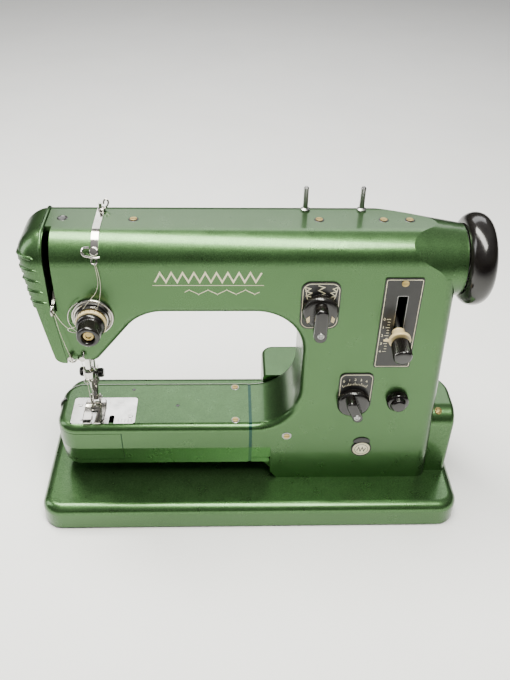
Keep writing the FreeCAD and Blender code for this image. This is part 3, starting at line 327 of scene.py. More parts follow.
def stadium(half_width, low, high, inset, steps=12):
    """Outline of a bar with two round ends, as X, Z points round its own centre."""
    radius = half_width - inset
    outline = []
    for centre, start in ((high - half_width, 0), (low + half_width, 180)):
        for i in range(steps + 1):
            angle = math.radians(start + 180 * i / steps)
            outline.append((radius * math.cos(angle), centre + radius * math.sin(angle)))
    return outline


def add_loft(form, loops):
    """Skin through loops of equal length, closed at both ends."""
    rings = [[form.verts.new(spot) for spot in loop] for loop in loops]
    for lower, upper in zip(rings, rings[1:]):
        for i in range(len(lower)):
            j = (i + 1) % len(lower)
            form.faces.new([lower[i], lower[j], upper[j], upper[i]])
    form.faces.new(rings[0])
    form.faces.new(rings[-1])
    return form


def surface(node):
    """Search tree over a CAD node's faces, to lay details on it."""
    mesh = NODES[node].data
    return BVHTree.FromPolygons([v.co.copy() for v in mesh.vertices],
                                [list(p.vertices) for p in mesh.polygons])


def land(tree, start, toward):
    """Point in millimetres where a ray meets the surface, and the surface's normal there."""
    place, normal = tree.ray_cast(point(*start), Vector(toward).normalized())[:2]
    return place / MM, normal


def number(name, text, x, z, size):
    """Cream numeral on a dial plate that faces the front."""
    data = bpy.data.curves.new(name, "FONT")
    data.body = text
    data.size = size * MM
    data.extrude = 0.04 * MM
    data.align_x = "CENTER"
    data.align_y = "CENTER"
    label = bpy.data.objects.new(name, data)
    label.location = point(x, PLATE - 0.02, z)
    label.rotation_euler = (math.pi / 2, 0, 0)
    settle(label, "cream_enamel", "machine")


# ---------------------------------------------------------------- handwheel

WHEEL = point(*centre_of("handwheel_spin"))


def make_handwheel():
    """Glossy wheel with a round rim, and the fluted clutch wheel at its centre."""
    rim = []
    for i in range(25):
        angle = math.radians(-128 + 256 * i / 24)
        rim.append((30.2 + 9.8 * math.cos(angle), 11.5 + 11.5 * math.sin(angle)))
    profile = ([(5.0, 6.0), (13.0, 5.2), (20.0, 5.6)] + rim
               + [(19.0, 15.0), (17.6, 15.8), (5.0, 16.0), (5.0, 6.0)])
    wheel = lathe("handwheel_rim", profile, WHEEL, RIGHTWARD, "black_plastic", "handwheel",
                  soft=0, segments=128)
    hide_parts("handwheel")
    knob = [(5.0, 16.0), (15.2, 16.0), (16.0, 17.0), (16.0, 22.0), (14.6, 23.2), (11.0, 23.6),
            (10.2, 22.8), (5.6, 22.8), (5.0, 22.2), (5.0, 16.0)]
    clutch = lathe("clutch_wheel", knob, WHEEL, RIGHTWARD, "black_plastic", "clutch",
                   segments=192, flutes=48, depth=0.7, fluted=(16.5, 22.3))
    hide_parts("clutch_knob")
    lathe("clutch_screw", [(0, 22.4), (3.8, 22.4), (3.8, 23.4), (3.0, 24.0), (0, 24.0)], WHEEL,
          RIGHTWARD, "chrome", "clutch", soft=0.4)


# ---------------------------------------------------------------- front controls

# Faces of the dial plates and seats of the knobs, the knobs' skirts and full depth, and the
# lever's tilt below level.
PLATE = FRONT - 1.2
SEAT = FRONT - 1.5
SKIRT = 8.0
REACH = 19.0
LEVER_TILT = 12
NUMERAL = 3.6


def bar_handle(name, x, z, turn, half_width, low, high, near, far, slot, body):
    """Finger bar of a knob, with crowned edges, turned in the plane of the dial."""
    angle = math.radians(turn)
    loops = []
    for y, inset in ((near, 0.0), (far + 2.2, 0.2), (far + 0.9, 0.6), (far + 0.25, 1.3),
                     (far, 2.3)):
        loop = []
        for u, v in stadium(half_width, low, high, inset):
            loop.append(point(x + u * math.cos(angle) + v * math.sin(angle), y,
                              z - u * math.sin(angle) + v * math.cos(angle)))
        loops.append(loop)
    return finish_mesh(name, add_loft(bmesh.new(), loops), slot, body, 40)


def bar_knob(prefix, node, body, x, z, turn, radius, half_width, low, high):
    """Skirted knob with a finger bar and a screw ringed with steel at the bar's long end."""
    skirt = [(3.1, 0), (radius - 0.8, 0), (radius, 0.8), (radius, SKIRT - 3),
             (radius - 1.6, SKIRT - 0.8), (radius - 4, SKIRT), (0, SKIRT + 0.2)]
    base = lathe(prefix + "_skirt", skirt, point(x, SEAT, z), FRONTWARD, "black_plastic", body,
                 segments=180, flutes=45, depth=0.45, fluted=(0.6, SKIRT - 2.6))
    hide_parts(node)
    bar_handle(prefix + "_bar", x, z, turn, half_width, low, high, SEAT - SKIRT + 0.6, SEAT - REACH,
               "black_plastic", body)
    end = low + half_width + 2.5
    angle = math.radians(turn)
    tip = point(x + end * math.sin(angle), SEAT - REACH + 0.2, z + end * math.cos(angle))
    lathe(prefix + "_ring", [(1.5, 0), (1.5, 0.5), (2.0, 0.8), (2.6, 0.8), (3.0, 0.3), (3.0, 0)],
          tip, FRONTWARD, "steel", body, soft=0.2, segments=40)
    lathe(prefix + "_pin", [(0, 0.35), (1.1, 0.35), (1.45, 0.1), (1.45, 0)], tip, FRONTWARD,
          "steel", body, soft=0.2, segments=32)


def make_selector():
    """Stitch selector: bordered plate, painted stitch signs and its pointer knob."""
    x, z = PIVOT["selector_turn"].x, PIVOT["selector_turn"].z
    bar_knob("selector", "selector_knob", "selector", x, z, 0, 15.5, 5.8, -23, 11)
    frame_line = rounded_frame(40.2, 70.7, 217.4, 261.9, 6.8)
    middle = [(52.4, 260.4), (57.8, 258.6), (53.0, 255.6), (58.4, 252.8), (53.4, 249.8),
              (57.4, 247.8), (55.4, 245.6)]
    left = [(42.2, 258.6), (46.4, 257.4), (42.4, 254.8), (47.4, 253.2), (43.0, 250.2),
            (48.6, 248.8), (44.8, 244.8), (45.0, 244.6)]
    right = [(68.6, 258.6), (65.0, 257.0), (68.2, 254.4), (63.4, 253.0), (67.6, 249.8),
             (61.8, 248.8), (66.2, 244.4)]
    rail_left = [(41.9, 259.0), (43.6, 249.0), (46.2, 241.0)]
    rail_right = [(69.0, 259.0), (67.4, 249.0), (64.8, 241.0)]
    strokes("selector_border", [frame_line], 0.55, PLATE, "cream_enamel", "machine")
    strokes("selector_marks", [middle, left, right, rail_left, rail_right], 0.7, PLATE,
            "cream_enamel", "machine")
    for name, side in (("left", -1), ("right", 1)):
        cx = x + side * 10.8
        form = bmesh.new()
        outline = [(cx - 1.4 * side, z - 1.6), (cx + 1.3 * side, z - 4.6), (cx + 0.4 * side, z - 8.6),
                   (cx - 2.0 * side, z - 7.0)]
        add_loft(form, [[point(u, SEAT - SKIRT + 1.6, v) for u, v in outline],
                        [point(u, SEAT - SKIRT - 0.5, v) for u, v in outline]])
        finish_mesh("selector_pointer_" + name, form, "ivory_plastic", "selector")


def make_width():
    """Stitch width dial: bordered plate, an arc of ticks with numerals, and its knob."""
    x, z = PIVOT["stitch_width_turn"].x, PIVOT["stitch_width_turn"].z
    bar_knob("width", "width_knob", "stitch_width", x, z, -24, 15.2, 5, -12, 14)
    strokes("width_border", [rounded_frame(80.3, 109.1, 123.3, 163.9, 4.8)], 0.5, PLATE,
            "cream_enamel", "machine")
    ticks = []
    for i in range(17):
        angle = math.radians(-32 + 64 * i / 16)
        inner, outer = (19.0, 22.2) if i % 4 == 0 else (19.0, 20.8)
        ticks.append([(x + inner * math.sin(angle), z + inner * math.cos(angle)),
                      (x + outer * math.sin(angle), z + outer * math.cos(angle))])
    strokes("width_ticks", ticks, 0.4, PLATE, "cream_enamel", "machine")
    for i in range(5):
        angle = math.radians(-24 + 48 * i / 4)
        number("width_number_%d" % i, str(i), x + 25.4 * math.sin(angle),
               z + 25.4 * math.cos(angle), NUMERAL)


def make_length():
    """Stitch length lever: bordered plate, slot, scale, ivory hub and fluted grip."""
    strokes("length_border", [rounded_frame(109.2, 139.3, 174.1, 265.9, 1.4)], 0.55, PLATE,
            "cream_enamel", "machine")
    pivot = PIVOT["stitch_length_swing"]
    slot_line = rounded_frame(pivot.x - 4.4, pivot.x + 4.4, pivot.z - 16.4, pivot.z + 22.4, 0.8)
    strokes("length_slot_edge", [slot_line], 0.35, PLATE, "steel", "machine")
    ticks = []
    scale_top, step = 226, 2.9
    for i in range(13):
        height = scale_top - step * i
        reach = 3.4 if i % 3 == 0 else 2.2
        ticks.append([(117.0, height), (117.0 - reach, height)])
    strokes("length_ticks", ticks, 0.4, PLATE, "cream_enamel", "machine")
    for i in range(5):
        number("length_number_%d" % i, str(i), 111.6, scale_top - 3 * step * i, NUMERAL)
    tilt = math.radians(LEVER_TILT)
    axis = Vector((0, -math.cos(tilt), -math.sin(tilt)))
    reach = (pivot.y - FRONT) / math.cos(tilt)
    collar_at = (pivot + axis * (reach + 3)) * MM
    collar = [(2.45, 0), (5.0, 0), (5.6, 0.6), (5.2, 2.2), (5.6, 3.0), (6.8, 6.2), (9.3, 8.4),
              (9.6, 9.2), (9.6, 11.2), (9.0, 11.6), (2.45, 11.6)]
    piece = lathe("lever_hub", collar, collar_at, axis, "ivory_plastic", "stitch_length",
                  soft=0.4, segments=64)
    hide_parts("lever_collar")
    pointer = bmesh.new()
    base = pivot + axis * (reach + 13.6)
    tip = [(-9.0, 1.1), (-14.0, 0.5), (-14.0, -0.5), (-9.0, -1.1)]
    add_loft(pointer, [[(base + Vector((u, 0.9, v))) * MM for u, v in tip],
                       [(base + Vector((u, -0.6, v))) * MM for u, v in tip]])
    finish_mesh("lever_pointer", pointer, "ivory_plastic", "stitch_length")
    grip_at = (pivot + axis * (reach + 15)) * MM
    grip = [(2.45, 0), (6.2, 0), (6.6, 0.8), (7.8, 2.2), (8.2, 3.0), (8.2, 17.2), (7.4, 18.8),
            (5.8, 19.6), (0, 19.8)]
    piece = lathe("lever_knob", grip, grip_at, axis, "black_plastic", "stitch_length",
                  segments=144, flutes=24, depth=0.8, fluted=(2.4, 17.6))
    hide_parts("lever_grip")


def make_small_dial():
    """Feed dial: a small fluted knob with ticks round its upper edge."""
    x, z = PIVOT["feed_dial_turn"].x, PIVOT["feed_dial_turn"].z
    profile = [(3.1, 0), (9.6, 0), (10.2, 0.6), (10.2, 5.6), (9.0, 7.0), (7.4, 7.6), (7.0, 10.0),
               (5.4, 11.4), (0, 11.8)]
    piece = lathe("feed_dial_body", profile, point(x, FRONT - 0.3, z), FRONTWARD,
                  "black_plastic", "feed_dial", segments=160, flutes=40, depth=0.55,
                  fluted=(0.4, 5.8))
    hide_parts("small_dial")
    ticks = []
    for i in range(9):
        angle = math.radians(-60 + 120 * i / 8)
        ticks.append([(x + 8.0 * math.sin(angle), z + 8.0 * math.cos(angle)),
                      (x + 9.2 * math.sin(angle), z + 9.2 * math.cos(angle))])
    strokes("feed_dial_ticks", ticks, 0.32, FRONT - 0.3 - 6.65, "cream_enamel", "feed_dial")


def make_badge():
    """Plain medallion: a cream disc with a dark ring and a made-up stitch sign."""
    x, z, y = 108.0, 69.0, FRONT
    lathe("badge_ring", [(8.6, 0), (8.6, 1.2), (9.3, 1.5), (9.9, 1.0), (10.0, 0)],
          point(x, y, z), FRONTWARD, "black_enamel", "machine", soft=0.3)
    ring = [(x + 6.4 * math.sin(math.radians(a)), z + 6.4 * math.cos(math.radians(a)))
            for a in range(0, 361, 10)]
    ring[-1] = ring[0]
    sign = [(x - 4.2, z - 1.8), (x - 2.6, z + 2.6), (x - 0.9, z - 2.6), (x + 0.9, z + 2.6),
            (x + 2.6, z - 2.6), (x + 4.2, z + 1.8)]
    strokes("badge_lines", [ring], 0.45, y - 1.42, "black_enamel", "machine")
    strokes("badge_sign", [sign], 0.9, y - 1.42, "black_enamel", "machine")
    form = bmesh.new()
    loops = []
    for depth, grow in ((0.0, 1.0), (0.8, 1.0), (1.1, 0.9)):
        loops.append([point(x - 0.4 + 8.4 * grow * math.cos(math.radians(a)), y - depth,
                            z + 8.6 + 6.6 * grow * math.sin(math.radians(a)))
                      for a in range(0, 181, 12)])
    add_loft(form, loops)
    finish_mesh("badge_crest", form, "black_enamel", "machine")


def make_ornament():
    """Made-up stitch pattern in cream on the front of the arm."""
    zigzag = [(-82 + 4.6 * i, 272 if i % 2 else 263) for i in range(20)]
    rail = [(-84, 259.8), (7.5, 259.8)]
    scallop = []
    for i in range(97):
        angle = math.radians(15 * i)
        scallop.append((-58 + 62 * i / 96 + 1.3 * math.sin(2 * angle),
                        253.2 + 2.6 * math.sin(angle)))
    strokes("ornament_zigzag", [zigzag], 1.5, FRONT, "cream_enamel", "machine")
    strokes("ornament_rail", [rail], 0.5, FRONT, "cream_enamel", "machine")
    strokes("ornament_scallop", [scallop], 0.6, FRONT, "cream_enamel", "machine")


# ---------------------------------------------------------------- tension unit and threading

TENSION = centre_of("tension_turn")
THREAD_RADIUS = 0.22


def make_tension():
    """Tension unit: chrome rings and discs, marked ivory band, fluted grip and brass nut."""
    x, _, z = TENSION
    centre = point(x, FRONT, z)
    lathe("tension_outer_ring", [(15.6, 0), (15.6, 2.2), (16.4, 3.0), (17.4, 2.8), (17.9, 1.8),
                                 (17.9, 0)], centre, FRONTWARD, "chrome", "machine", soft=0.4)
    lathe("tension_groove", [(12.8, 3.3), (14.6, 3.3), (14.6, 3.9), (12.8, 3.9)], centre,
          FRONTWARD, "black_enamel", "machine", soft=0.1)
    for i, start in enumerate((4.4, 6.3)):
        sign = 1 if i == 0 else -1
        lathe("tension_disc_rim_%d" % i,
              [(12.3, start), (12.9, start + 0.2 * sign), (13.5, start + 0.5),
               (12.9, start + 0.9), (12.3, start + 0.8)], centre, FRONTWARD, "chrome",
              "machine", soft=0.1)
    ring = lathe("tension_band", [(3.1, 9.0), (12.6, 9.0), (12.9, 9.4), (12.9, 12.6),
                                  (12.5, 13.0), (3.1, 13.0)], centre, FRONTWARD,
                 "ivory_plastic", "tension_dial", soft=0.3, segments=96)
    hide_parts("tension_ring")
    lathe("tension_band_back", [(11.9, 8.3), (12.4, 8.6), (12.4, 9.1), (11.9, 9.2)], centre,
          FRONTWARD, "black_plastic", "tension_dial", soft=0.1)
    marks = bmesh.new()
    for i in range(20):
        angle = 2 * math.pi * i / 20
        along = Vector((math.cos(angle), 0, math.sin(angle)))
        side = Vector((-math.sin(angle), 0, math.cos(angle)))
        loops = []
        for radius in (12.86, 12.98):
            middle = Vector((x, FRONT, z)) + along * radius
            loops.append([(middle + side * s * 0.22 + Vector((0, -d, 0))) * MM
                          for s, d in ((1, 9.6), (1, 11.6), (-1, 11.6), (-1, 9.6))])
        add_loft(marks, loops)
    finish_mesh("tension_band_marks", marks, "black_enamel", "tension_dial")
    knob = [(3.1, 13.1), (11.6, 13.1), (12.0, 13.6), (12.0, 15.6), (11.2, 17.0), (9.9, 18.0),
            (9.7, 29.0), (9.0, 30.6), (7.4, 31.0), (6.0, 30.6), (5.5, 29.6), (5.5, 26.4),
            (0, 26.4)]
    piece = lathe("tension_grip", knob, centre, FRONTWARD, "black_plastic", "tension_dial",
                  segments=144, flutes=36, depth=0.35, fluted=(18.2, 28.8))
    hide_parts("tension_knob")
    lathe("tension_nut", [(0, 27.2), (2.2, 27.2), (2.4, 28.4), (4.2, 28.4), (4.9, 27.8),
                          (5.3, 26.5)], centre, FRONTWARD, "brass", "tension_dial", soft=0.3,
          segments=48)


def make_check_spring():
    """Curved wire of the check spring, left of the tension unit, with its hook."""
    x, _, z = TENSION
    route = []
    for i in range(9):
        angle = math.radians(120 + 14 * i)
        route.append((x + 20.5 * math.cos(angle), FRONT - 3.9, z + 19.0 * math.sin(angle)))
    route += [(x - 20.0, FRONT - 4.6, z - 13.0), (x - 22.4, FRONT - 5.2, z - 9.6),
              (x - 19.4, FRONT - 5.0, z - 8.4)]
    wire("check_spring_hook", route, 0.42, "chrome", "check_spring")


def make_strap_clips():
    """Rolled wire guides at both ends of the strap over the arm."""
    x = -128.5
    lathe("strap_front_boss", [(0, 0), (3.4, 0), (3.8, 0.5), (3.8, 1.6), (3.0, 2.4), (0, 2.6)],
          point(x - 0.4, -56.2, 289.5), (0, -0.78, 0.62), "chrome", "machine", soft=0.4,
          segments=40)
    wire("strap_front_hook", [(x - 4.2, -57.0, 293.5), (x - 8.0, -59.5, 295.5),
                              (x - 9.4, -62.5, 293.0), (x - 7.4, -64.0, 290.0),
                              (x - 3.0, -62.5, 288.0), (x + 2.0, -61.5, 286.6),
                              (x + 4.2, -60.8, 287.0)], 0.9, "chrome", "machine")
    wire("strap_front_eye", [(x - 1.5, -60.0, 286.0), (x - 3.2, -62.0, 283.2),
                             (x - 0.4, -63.0, 281.2), (x + 2.4, -62.2, 283.0),
                             (x + 1.0, -60.4, 286.4)], 0.7, "chrome", "machine")
    wire("strap_rear_hook", [(x + 3.0, -6.0, 301.2), (x + 5.6, -5.0, 303.6),
                             (x + 6.6, -3.4, 306.6), (x + 4.4, -2.6, 308.6),
                             (x + 2.0, -3.2, 307.0), (x + 2.4, -4.4, 304.6)], 0.8, "chrome",
         "machine")
    lathe("strap_rear_boss", [(0, 0), (3.0, 0), (3.2, 0.4), (3.2, 1.4), (2.4, 2.0), (0, 2.2)],
          point(x + 1.0, -7.6, 301.1), UPWARD, "chrome", "machine", soft=0.3, segments=40)


def make_head_guides():
    """Two bent wire guides at the bottom of the head."""
    wire("head_guide_left", [(-160.0, -60.4, 187.0), (-161.4, -63.4, 186.6),
                             (-160.6, -65.0, 183.6), (-156.8, -65.0, 182.6),
                             (-154.6, -63.6, 184.6)], 0.75, "chrome", "machine")
    wire("head_guide_right", [(-153.6, -60.2, 184.6), (-152.6, -63.6, 184.2),
                              (-149.6, -64.6, 186.0), (-147.6, -63.4, 189.6),
                              (-148.2, -60.6, 190.8)], 0.75, "chrome", "machine")


def make_threads():
    """Threads as they run at rest: two strands from the strap to the tension unit, one over
    the lever's eye to the head, and one down to the needle. All are fixed to the machine, so
    they stay behind when the take-up lever or the needle bar moves."""
    routes = {
        "thread_upper": (0.048, [(-128.9, -62.4, 282.0), (-127.0, -61.6, 266.0),
                                 (-130.0, -62.0, 254.0), (-137.5, -64.6, 246.5),
                                 (-142.8, -65.6, 239.5)]),
        "thread_spare": (0.042, [(-128.0, -62.6, 282.2), (-125.4, -61.4, 268.0),
                                 (-127.0, -63.4, 250.0), (-130.2, -65.2, 241.0)]),
        "thread_middle": (0.086, [(-148.6, -65.4, 224.0), (-155.0, -66.0, 218.0),
                                  (-161.5, -66.4, 226.0), (-167.2, -65.4, 238.2),
                                  (-166.9, -65.2, 238.4), (-165.0, -66.0, 218.0),
                                  (-160.5, -66.2, 196.0), (-157.6, -65.2, 183.4)]),
        "thread_needle": (0.082, [(-150.4, -64.6, 184.6), (-150.7, -57.0, 164.0),
                                  (-151.1, -50.5, 140.0), (-151.4, -48.0, 116.0),
                                  (-151.5, -38.4, 108.5)]),
    }
    for name, (length, route) in routes.items():
        piece = wire(name, route, THREAD_RADIUS, "thread", "machine")


# ---------------------------------------------------------------- head cover and arm details

def make_cover_ribs():
    """Five raised beads round the cover's left side, each ending on its front face."""
    tree = surface("face_cover")
    for index in range(5):
        z = 283.0 - 10.2 * index
        front_end = -178.2 + 1.5 * index
        spots = []
        for i in range(5):
            spots.append(land(tree, (front_end - 2.0 * i, -80, z), (0, 1, 0)))
        for i in range(9):
            angle = math.radians(20 + 70 * i / 8)
            start = (-172 - 60 * math.sin(angle), -36 - 60 * math.cos(angle), z)
            spots.append(land(tree, start, (math.sin(angle), math.cos(angle), 0)))
        for y in (-28, -14, 0):
            spots.append(land(tree, (-230, y, z), (1, 0, 0)))
        form = bmesh.new()
        loops = []
        for order, (spot, normal) in enumerate(spots):
            ends = min(order, len(spots) - 1 - order)
            grow = min(1.0, 0.25 + 0.45 * ends)
            out = Vector((normal.x, normal.y, 0)).normalized()
            loop = []
            for side, rise in ((-1.5, -0.6), (-1.0, 0.9), (-0.2, 1.6), (0.7, 1.3),
                               (1.4, 0.3), (1.7, -0.6)):
                loop.append((spot + Vector((0, 0, side * grow)) + out * rise * grow) * MM)
            loops.append(loop)
        add_loft(form, loops)
        finish_mesh("cover_rib_%d" % index, form, "green_paint", "face_cover", 60)


def make_cover_lip():
    """Raised lip along the top of the cover where it meets the arm."""
    tree = surface("face_cover")
    spots = []
    for y in (6, 0, -8, -16, -24, -32):
        spots.append(land(tree, (-172.6, y, 340), (0, 0, -1)))
    for i in range(8):
        angle = math.radians(90 - 11 * i)
        start = (-172.6, -36 - 60 * math.cos(angle), 276 + 60 * math.sin(angle))
        spots.append(land(tree, start, (0, math.cos(angle), -math.sin(angle))))
    loops = []
    count = len(spots)
    for order, (spot, normal) in enumerate(spots):
        grow = 1.0 - 0.7 * max(0, order - 5) / (count - 6)
        out = Vector((0, normal.y, normal.z)).normalized()
        loops.append([(spot + Vector((side * grow, 0, 0)) + out * rise * grow) * MM
                      for side, rise in ((-1.9, -0.4), (-1.5, 0.8), (-0.5, 1.5), (0.8, 1.5),
                                         (1.6, 0.9), (1.8, -0.4))])
    finish_mesh("cover_lip", add_loft(bmesh.new(), loops), "green_paint", "face_cover", 60)


def make_small_details():
    """Oil hole and bed holes as dark discs of painted shade, dark rings of painted shade round the top screws,
    steel rims round the other screws, brass screw, catch and door seam.
    """
    # Oil hole: a black disc of painted shade stands for the hole's dark inside, within a raised rim.
    lathe("oil_hole", [(0, 0.05), (3.2, 0.05), (3.6, 0.3), (4.2, 0.25), (4.5, 0)],
          point(-158.5, -20, ARM_TOP), UPWARD, "black_plastic", "machine", soft=0.2)
    # Dark rings round the top screws: painted shade in the countersinks that the screws sit in.
    for index, x in enumerate((-100, 54, 108, 130)):
        lathe("top_screw_shade_ring_%d" % index, [(3.0, 0), (3.1, 0.25), (3.9, 0.25), (4.3, 0)],
              point(x, -22, ARM_TOP), UPWARD, "black_enamel", "machine", soft=0.1, segments=48)
    for index, y in enumerate((-50, -2)):
        lathe("bed_screw_ring_%d" % index, [(3.0, 0), (3.1, 0.3), (3.8, 0.3), (4.2, 0)],
              point(-15.5, y, BED), UPWARD, "steel", "machine", soft=0.1, segments=48)
    # Bed holes: flat black discs of painted shade stand for the holes' dark insides.
    for index, (x, y) in enumerate(((-117, -5), (-72, -29))):
        lathe("bed_hole_%d" % index, [(0, 0.04), (1.1, 0.04), (1.5, 0.12), (1.8, 0)],
              point(x, y, BED), UPWARD, "black_plastic", "machine", soft=0, segments=32)
    lathe("pillar_screw_ring", [(3.0, 0), (3.1, 0.4), (4.2, 0.4), (4.7, 0)],
          point(34, FRONT, 86.5), FRONTWARD, "steel", "machine", soft=0.1, segments=48)
    lathe("housing_screw", [(0, 0.9), (2.0, 0.9), (2.6, 0.3), (3.2, 0.3), (3.8, -0.4)],
          point(182.5, -43.5, 103.6), (0, -0.42, 0.9), "brass", "machine", soft=0.2,
          segments=40)
    wire("bed_catch", [(-186.6, -24, 90.0), (-187.4, -22, 94.4), (-185.4, -20, 98.2),
                       (-181.6, -19, 99.6)], 1.3, "steel", "machine")
    seam = [(-125.0, FRONT - 0.02, 90.4), (-125.0, FRONT - 0.02, 71.0)]
    wire("door_seam", seam, 0.28, "seam_paint", "machine", smooth=False)


# ---------------------------------------------------------------- needle and presser foot

NEEDLE_X, NEEDLE_Y, PRESSER_Y = -151.5, -37.0, -20.0


def make_plate_marks():
    """Five short black guide lines printed to the right of the needle."""
    form = bmesh.new()
    for index in range(5):
        x = -128.0 + 3.2 * index
        loops = []
        for height in (0.0, 0.05):
            loops.append([point(x + dx, y, BED + height) for dx, y in
                          ((-0.15, -52.5), (0.15, -52.5), (0.15, -47.5), (-0.15, -47.5))])
        add_loft(form, loops)
    finish_mesh("plate_lines", form, "black_enamel", "machine")


def make_foot():
    """Zigzag foot: two upturned toes joined behind the needle opening, on a pinned shank."""
    form = bmesh.new()
    low = BED + 0.4
    for side in (-1, 1):
        loops = []
        for y, lift, thick in ((-58.6, 3.6, 1.2), (-56.6, 2.3, 1.6), (-54.0, 0.9, 1.9),
                               (-51.0, 0.1, 2.0), (-44.0, 0.0, 2.0), (-33.0, 0.0, 2.0),
                               (-31.5, 0.0, 2.4)):
            inner = 1.7 if y < -38.5 else 4.5 if y < -32.5 else 0.0
            outer = 10.4 if y > -52 else 10.4 - 0.34 * (-52 - y)
            loops.append([point(NEEDLE_X + side * u, y, low + lift + v) for u, v in
                          ((inner, 0), (outer, 0), (outer, thick * 0.7), (outer - 0.7, thick),
                           (inner + 0.4, thick), (inner, thick * 0.8))])
        add_loft(form, loops)
    loops = []
    for y, half, thick in ((-32.4, 10.4, 2.0), (-30.0, 10.4, 2.6), (-26.0, 10.0, 3.0),
                           (-22.0, 9.2, 2.6)):
        loops.append([point(NEEDLE_X + u, y, low + v) for u, v in
                      ((-half, 0), (half, 0), (half, thick * 0.6), (half - 1, thick),
                       (1 - half, thick), (-half, thick * 0.6))])
    add_loft(form, loops)
    for side in (-1, 1):
        loops = []
        for x in (3.2, 5.0):
            loops.append([point(NEEDLE_X + side * x, -25 + 3.2 * math.cos(math.radians(a)),
                                107.5 + 3.2 * math.sin(math.radians(a)))
                          for a in range(0, 181, 20)]
                         + [point(NEEDLE_X + side * x, -28.4, low + 2.2),
                            point(NEEDLE_X + side * x, -21.6, low + 2.2)])
        add_loft(form, loops)
    foot = finish_mesh("presser_toes", form, "chrome", "presser_foot", 30)
    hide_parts("foot_sole")
    lathe("foot_pin", [(0, -6.2), (1.5, -6.2), (1.5, -5.2), (0.95, -5.0), (0.95, 5.0),
                       (1.5, 5.2), (1.5, 6.2), (0, 6.2)], point(NEEDLE_X, -25, 107.5),
          RIGHTWARD, "steel", "presser_foot", soft=0.1, segments=24)


def make_shank():
    """Presser foot holder on the presser bar, and its thumbscrew."""
    form = bmesh.new()
    loops = []
    for z, half, y0, y1 in ((105.4, 2.5, -27.4, -21.2), (110.5, 2.6, -27.2, -19.6),
                            (114.0, 2.7, -24.6, -18.6), (121.0, 2.9, -23.8, -16.6),
                            (124.0, 4.4, -25.0, -15.0), (126.0, 4.9, -25.4, -14.6),
                            (140.6, 4.9, -25.4, -14.6), (141.8, 4.2, -24.6, -15.4)):
        middle, depth = (y0 + y1) / 2, (y1 - y0) / 2
        loops.append([point(NEEDLE_X + half * u, middle + depth * v, z) for u, v in
                      ((-1, -0.55), (-0.6, -1), (0.6, -1), (1, -0.55), (1, 0.55), (0.6, 1),
                       (-0.6, 1), (-1, 0.55))])
    shank = finish_mesh("foot_holder", add_loft(form, loops), "chrome", "presser_bar", 30)
    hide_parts("foot_shank")
    thumb("foot_thumb", "foot_screw", (NEEDLE_X - 4.6, PRESSER_Y, 135.5), (-1, 0, 0), 4.6,
          "presser_bar")


def thumb(name, node, start, axis, radius, body):
    """Black thumbscrew with a fluted waisted head."""
    profile = [(1.5, 0), (1.5, 1.6), (2.6, 1.8), (radius - 0.6, 2.4), (radius, 3.4),
               (radius, 7.0), (radius - 0.8, 8.2), (0, 8.4)]
    piece = lathe(name, profile, point(*start), axis, "black_plastic", body, soft=0.5,
                  segments=96, flutes=24, depth=0.5, fluted=(3.2, 7.2))
    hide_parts(node)


def make_needle_clamp():
    """Needle clamp with its thumbscrew and wire guide, and the needle."""
    x, y = NEEDLE_X, NEEDLE_Y
    profile = [(1.1, 140), (3.6, 140), (4.4, 141), (4.8, 143), (5.5, 144.2), (5.5, 151.4),
               (4.6, 152.8), (3.05, 153)]
    clamp = lathe("needle_holder", profile, point(x, y, 0), UPWARD, "chrome", "needle_bar",
                  soft=0.4, segments=56)
    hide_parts("needle_clamp")
    thumb("needle_thumb", "needle_screw", (x + 5.2, y, 148), RIGHTWARD, 4.4, "needle_bar")
    wire("needle_guide", [(x - 3.6, y - 3.6, 143.0), (x - 5.2, y - 6.0, 142.0),
                          (x - 2.0, y - 7.2, 140.6), (x + 1.6, y - 5.6, 141.0),
                          (x + 1.0, y - 3.6, 142.0)], 0.5, "chrome", "needle_bar")
    profile = [(0.1, 106.0), (0.42, 108.6), (0.5, 112.0), (0.5, 126), (0.8, 129), (1.0, 130.5),
               (1.0, 146.0)]
    form = bmesh.new()
    add_lathe(form, profile, point(x, y, 0), UPWARD, segments=24)
    needle = finish_mesh("needle_blade", form, "chrome", "needle_bar")
    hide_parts("needle")


def make_take_up_eye():
    """Hooked thread eye at the outer end of the take-up lever."""
    wire("take_up_hook", [(-167.2, -60.0, 241.4), (-167.4, -65.4, 242.6),
                          (-167.8, -69.4, 239.2), (-167.6, -68.0, 234.8),
                          (-167.0, -64.2, 233.8), (-166.6, -62.0, 236.0)], 1.1, "chrome",
         "take_up")


make_handwheel()
make_selector()
make_width()
make_length()
make_small_dial()
make_badge()
make_ornament()
make_tension()
make_check_spring()
make_strap_clips()
make_head_guides()
make_threads()
make_cover_ribs()
make_cover_lip()
make_small_details()
make_plate_marks()
make_foot()
make_shank()
make_needle_clamp()
make_take_up_eye()


# ---------------------------------------------------------------- stage, light and camera

def add_camera():
    pitch, yaw, roll = math.radians(38.5), math.radians(2.46), math.radians(1.36)
    forward = Vector((math.sin(yaw) * math.cos(pitch), math.cos(yaw) * math.cos(pitch),
                      -math.sin(pitch)))
    right = Vector((math.cos(yaw), -math.sin(yaw), 0))
    up = right.cross(forward)
    turned_right = math.cos(roll) * right + math.sin(roll) * up
    turned_up = math.cos(roll) * up - math.sin(roll) * right
    data = bpy.data.cameras.new("camera")
    data.lens = 40.47
    data.sensor_width = 36.0
    data.shift_y = 0.022
    data.clip_start = 0.01
    camera = bpy.data.objects.new("camera", data)
    turn = Matrix((turned_right, turned_up, -forward)).transposed()
    camera.matrix_world = Matrix.Translation(Vector((-0.0212, -0.5881, 0.6071))) @ turn.to_4x4()
    bpy.context.scene.collection.objects.link(camera)
    bpy.context.scene.camera = camera


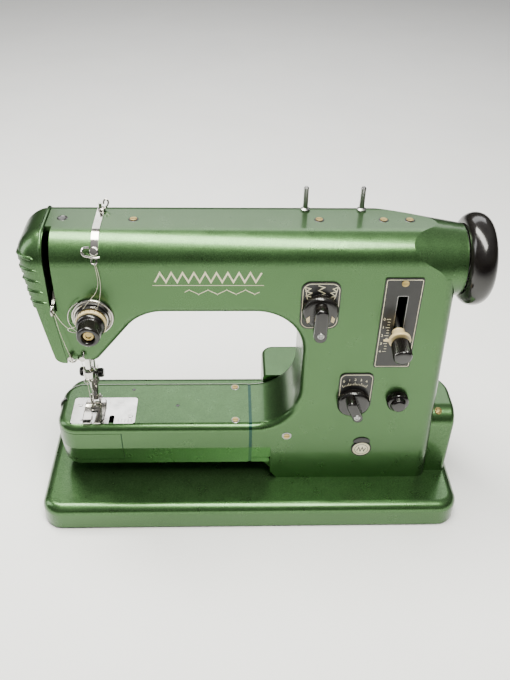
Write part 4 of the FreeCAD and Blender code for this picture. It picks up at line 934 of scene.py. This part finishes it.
def add_area(name, location, target, size, power, color=(1, 1, 1)):
    data = bpy.data.lights.new(name, "AREA")
    data.shape = "RECTANGLE"
    data.size, data.size_y = size
    data.energy = power
    data.color = color
    lamp = bpy.data.objects.new(name, data)
    lamp.location = location
    lamp.rotation_euler = (Vector(target) - Vector(location)).to_track_quat("-Z", "Y").to_euler()
    bpy.context.scene.collection.objects.link(lamp)


def add_stage():
    mesh = bpy.data.meshes.new("floor")
    half = 4.0
    mesh.from_pydata([(-half, -half, 0), (half, -half, 0), (half, half, 0), (-half, half, 0)],
                     [], [(0, 1, 2, 3)])
    floor = bpy.data.objects.new("floor", mesh)
    bpy.context.scene.collection.objects.link(floor)
    surface = Shader("floor_paper").set(Roughness=0.95, Specular_IOR_Level=0.1)
    surface.vary_color(surface.noise(6.0), (0.93, 0.93, 0.93), (0.96, 0.96, 0.96))
    floor.data.materials.append(surface.material)
    world = bpy.data.worlds.new("world")
    world.use_nodes = True
    tree = world.node_tree
    sky = tree.nodes.new("ShaderNodeValToRGB")
    place = tree.nodes.new("ShaderNodeTexCoord")
    parts = tree.nodes.new("ShaderNodeSeparateXYZ")
    sky.color_ramp.elements[0].position = 0.25
    sky.color_ramp.elements[0].color = (0.06, 0.07, 0.065, 1)
    sky.color_ramp.elements[1].position = 0.85
    sky.color_ramp.elements[1].color = (1, 1, 1, 1)
    tree.links.new(place.outputs["Generated"], parts.inputs["Vector"])
    tree.links.new(parts.outputs["Z"], sky.inputs["Fac"])
    tree.links.new(sky.outputs["Color"], tree.nodes["Background"].inputs["Color"])
    tree.nodes["Background"].inputs["Strength"].default_value = 0.45
    bpy.context.scene.world = world


add_camera()
add_stage()
add_area("key", (-0.1, -0.1, 1.2), (0, -0.02, 0.2), (1.5, 0.35), 46, (1.0, 0.99, 0.90))
add_area("rim", (-1.3, 0.1, 0.7), (0, 0, 0.2), (0.4, 1.0), 7)
add_area("back", (0.2, 1.3, 1.3), (0, 0, 0.2), (1.6, 0.6), 12)
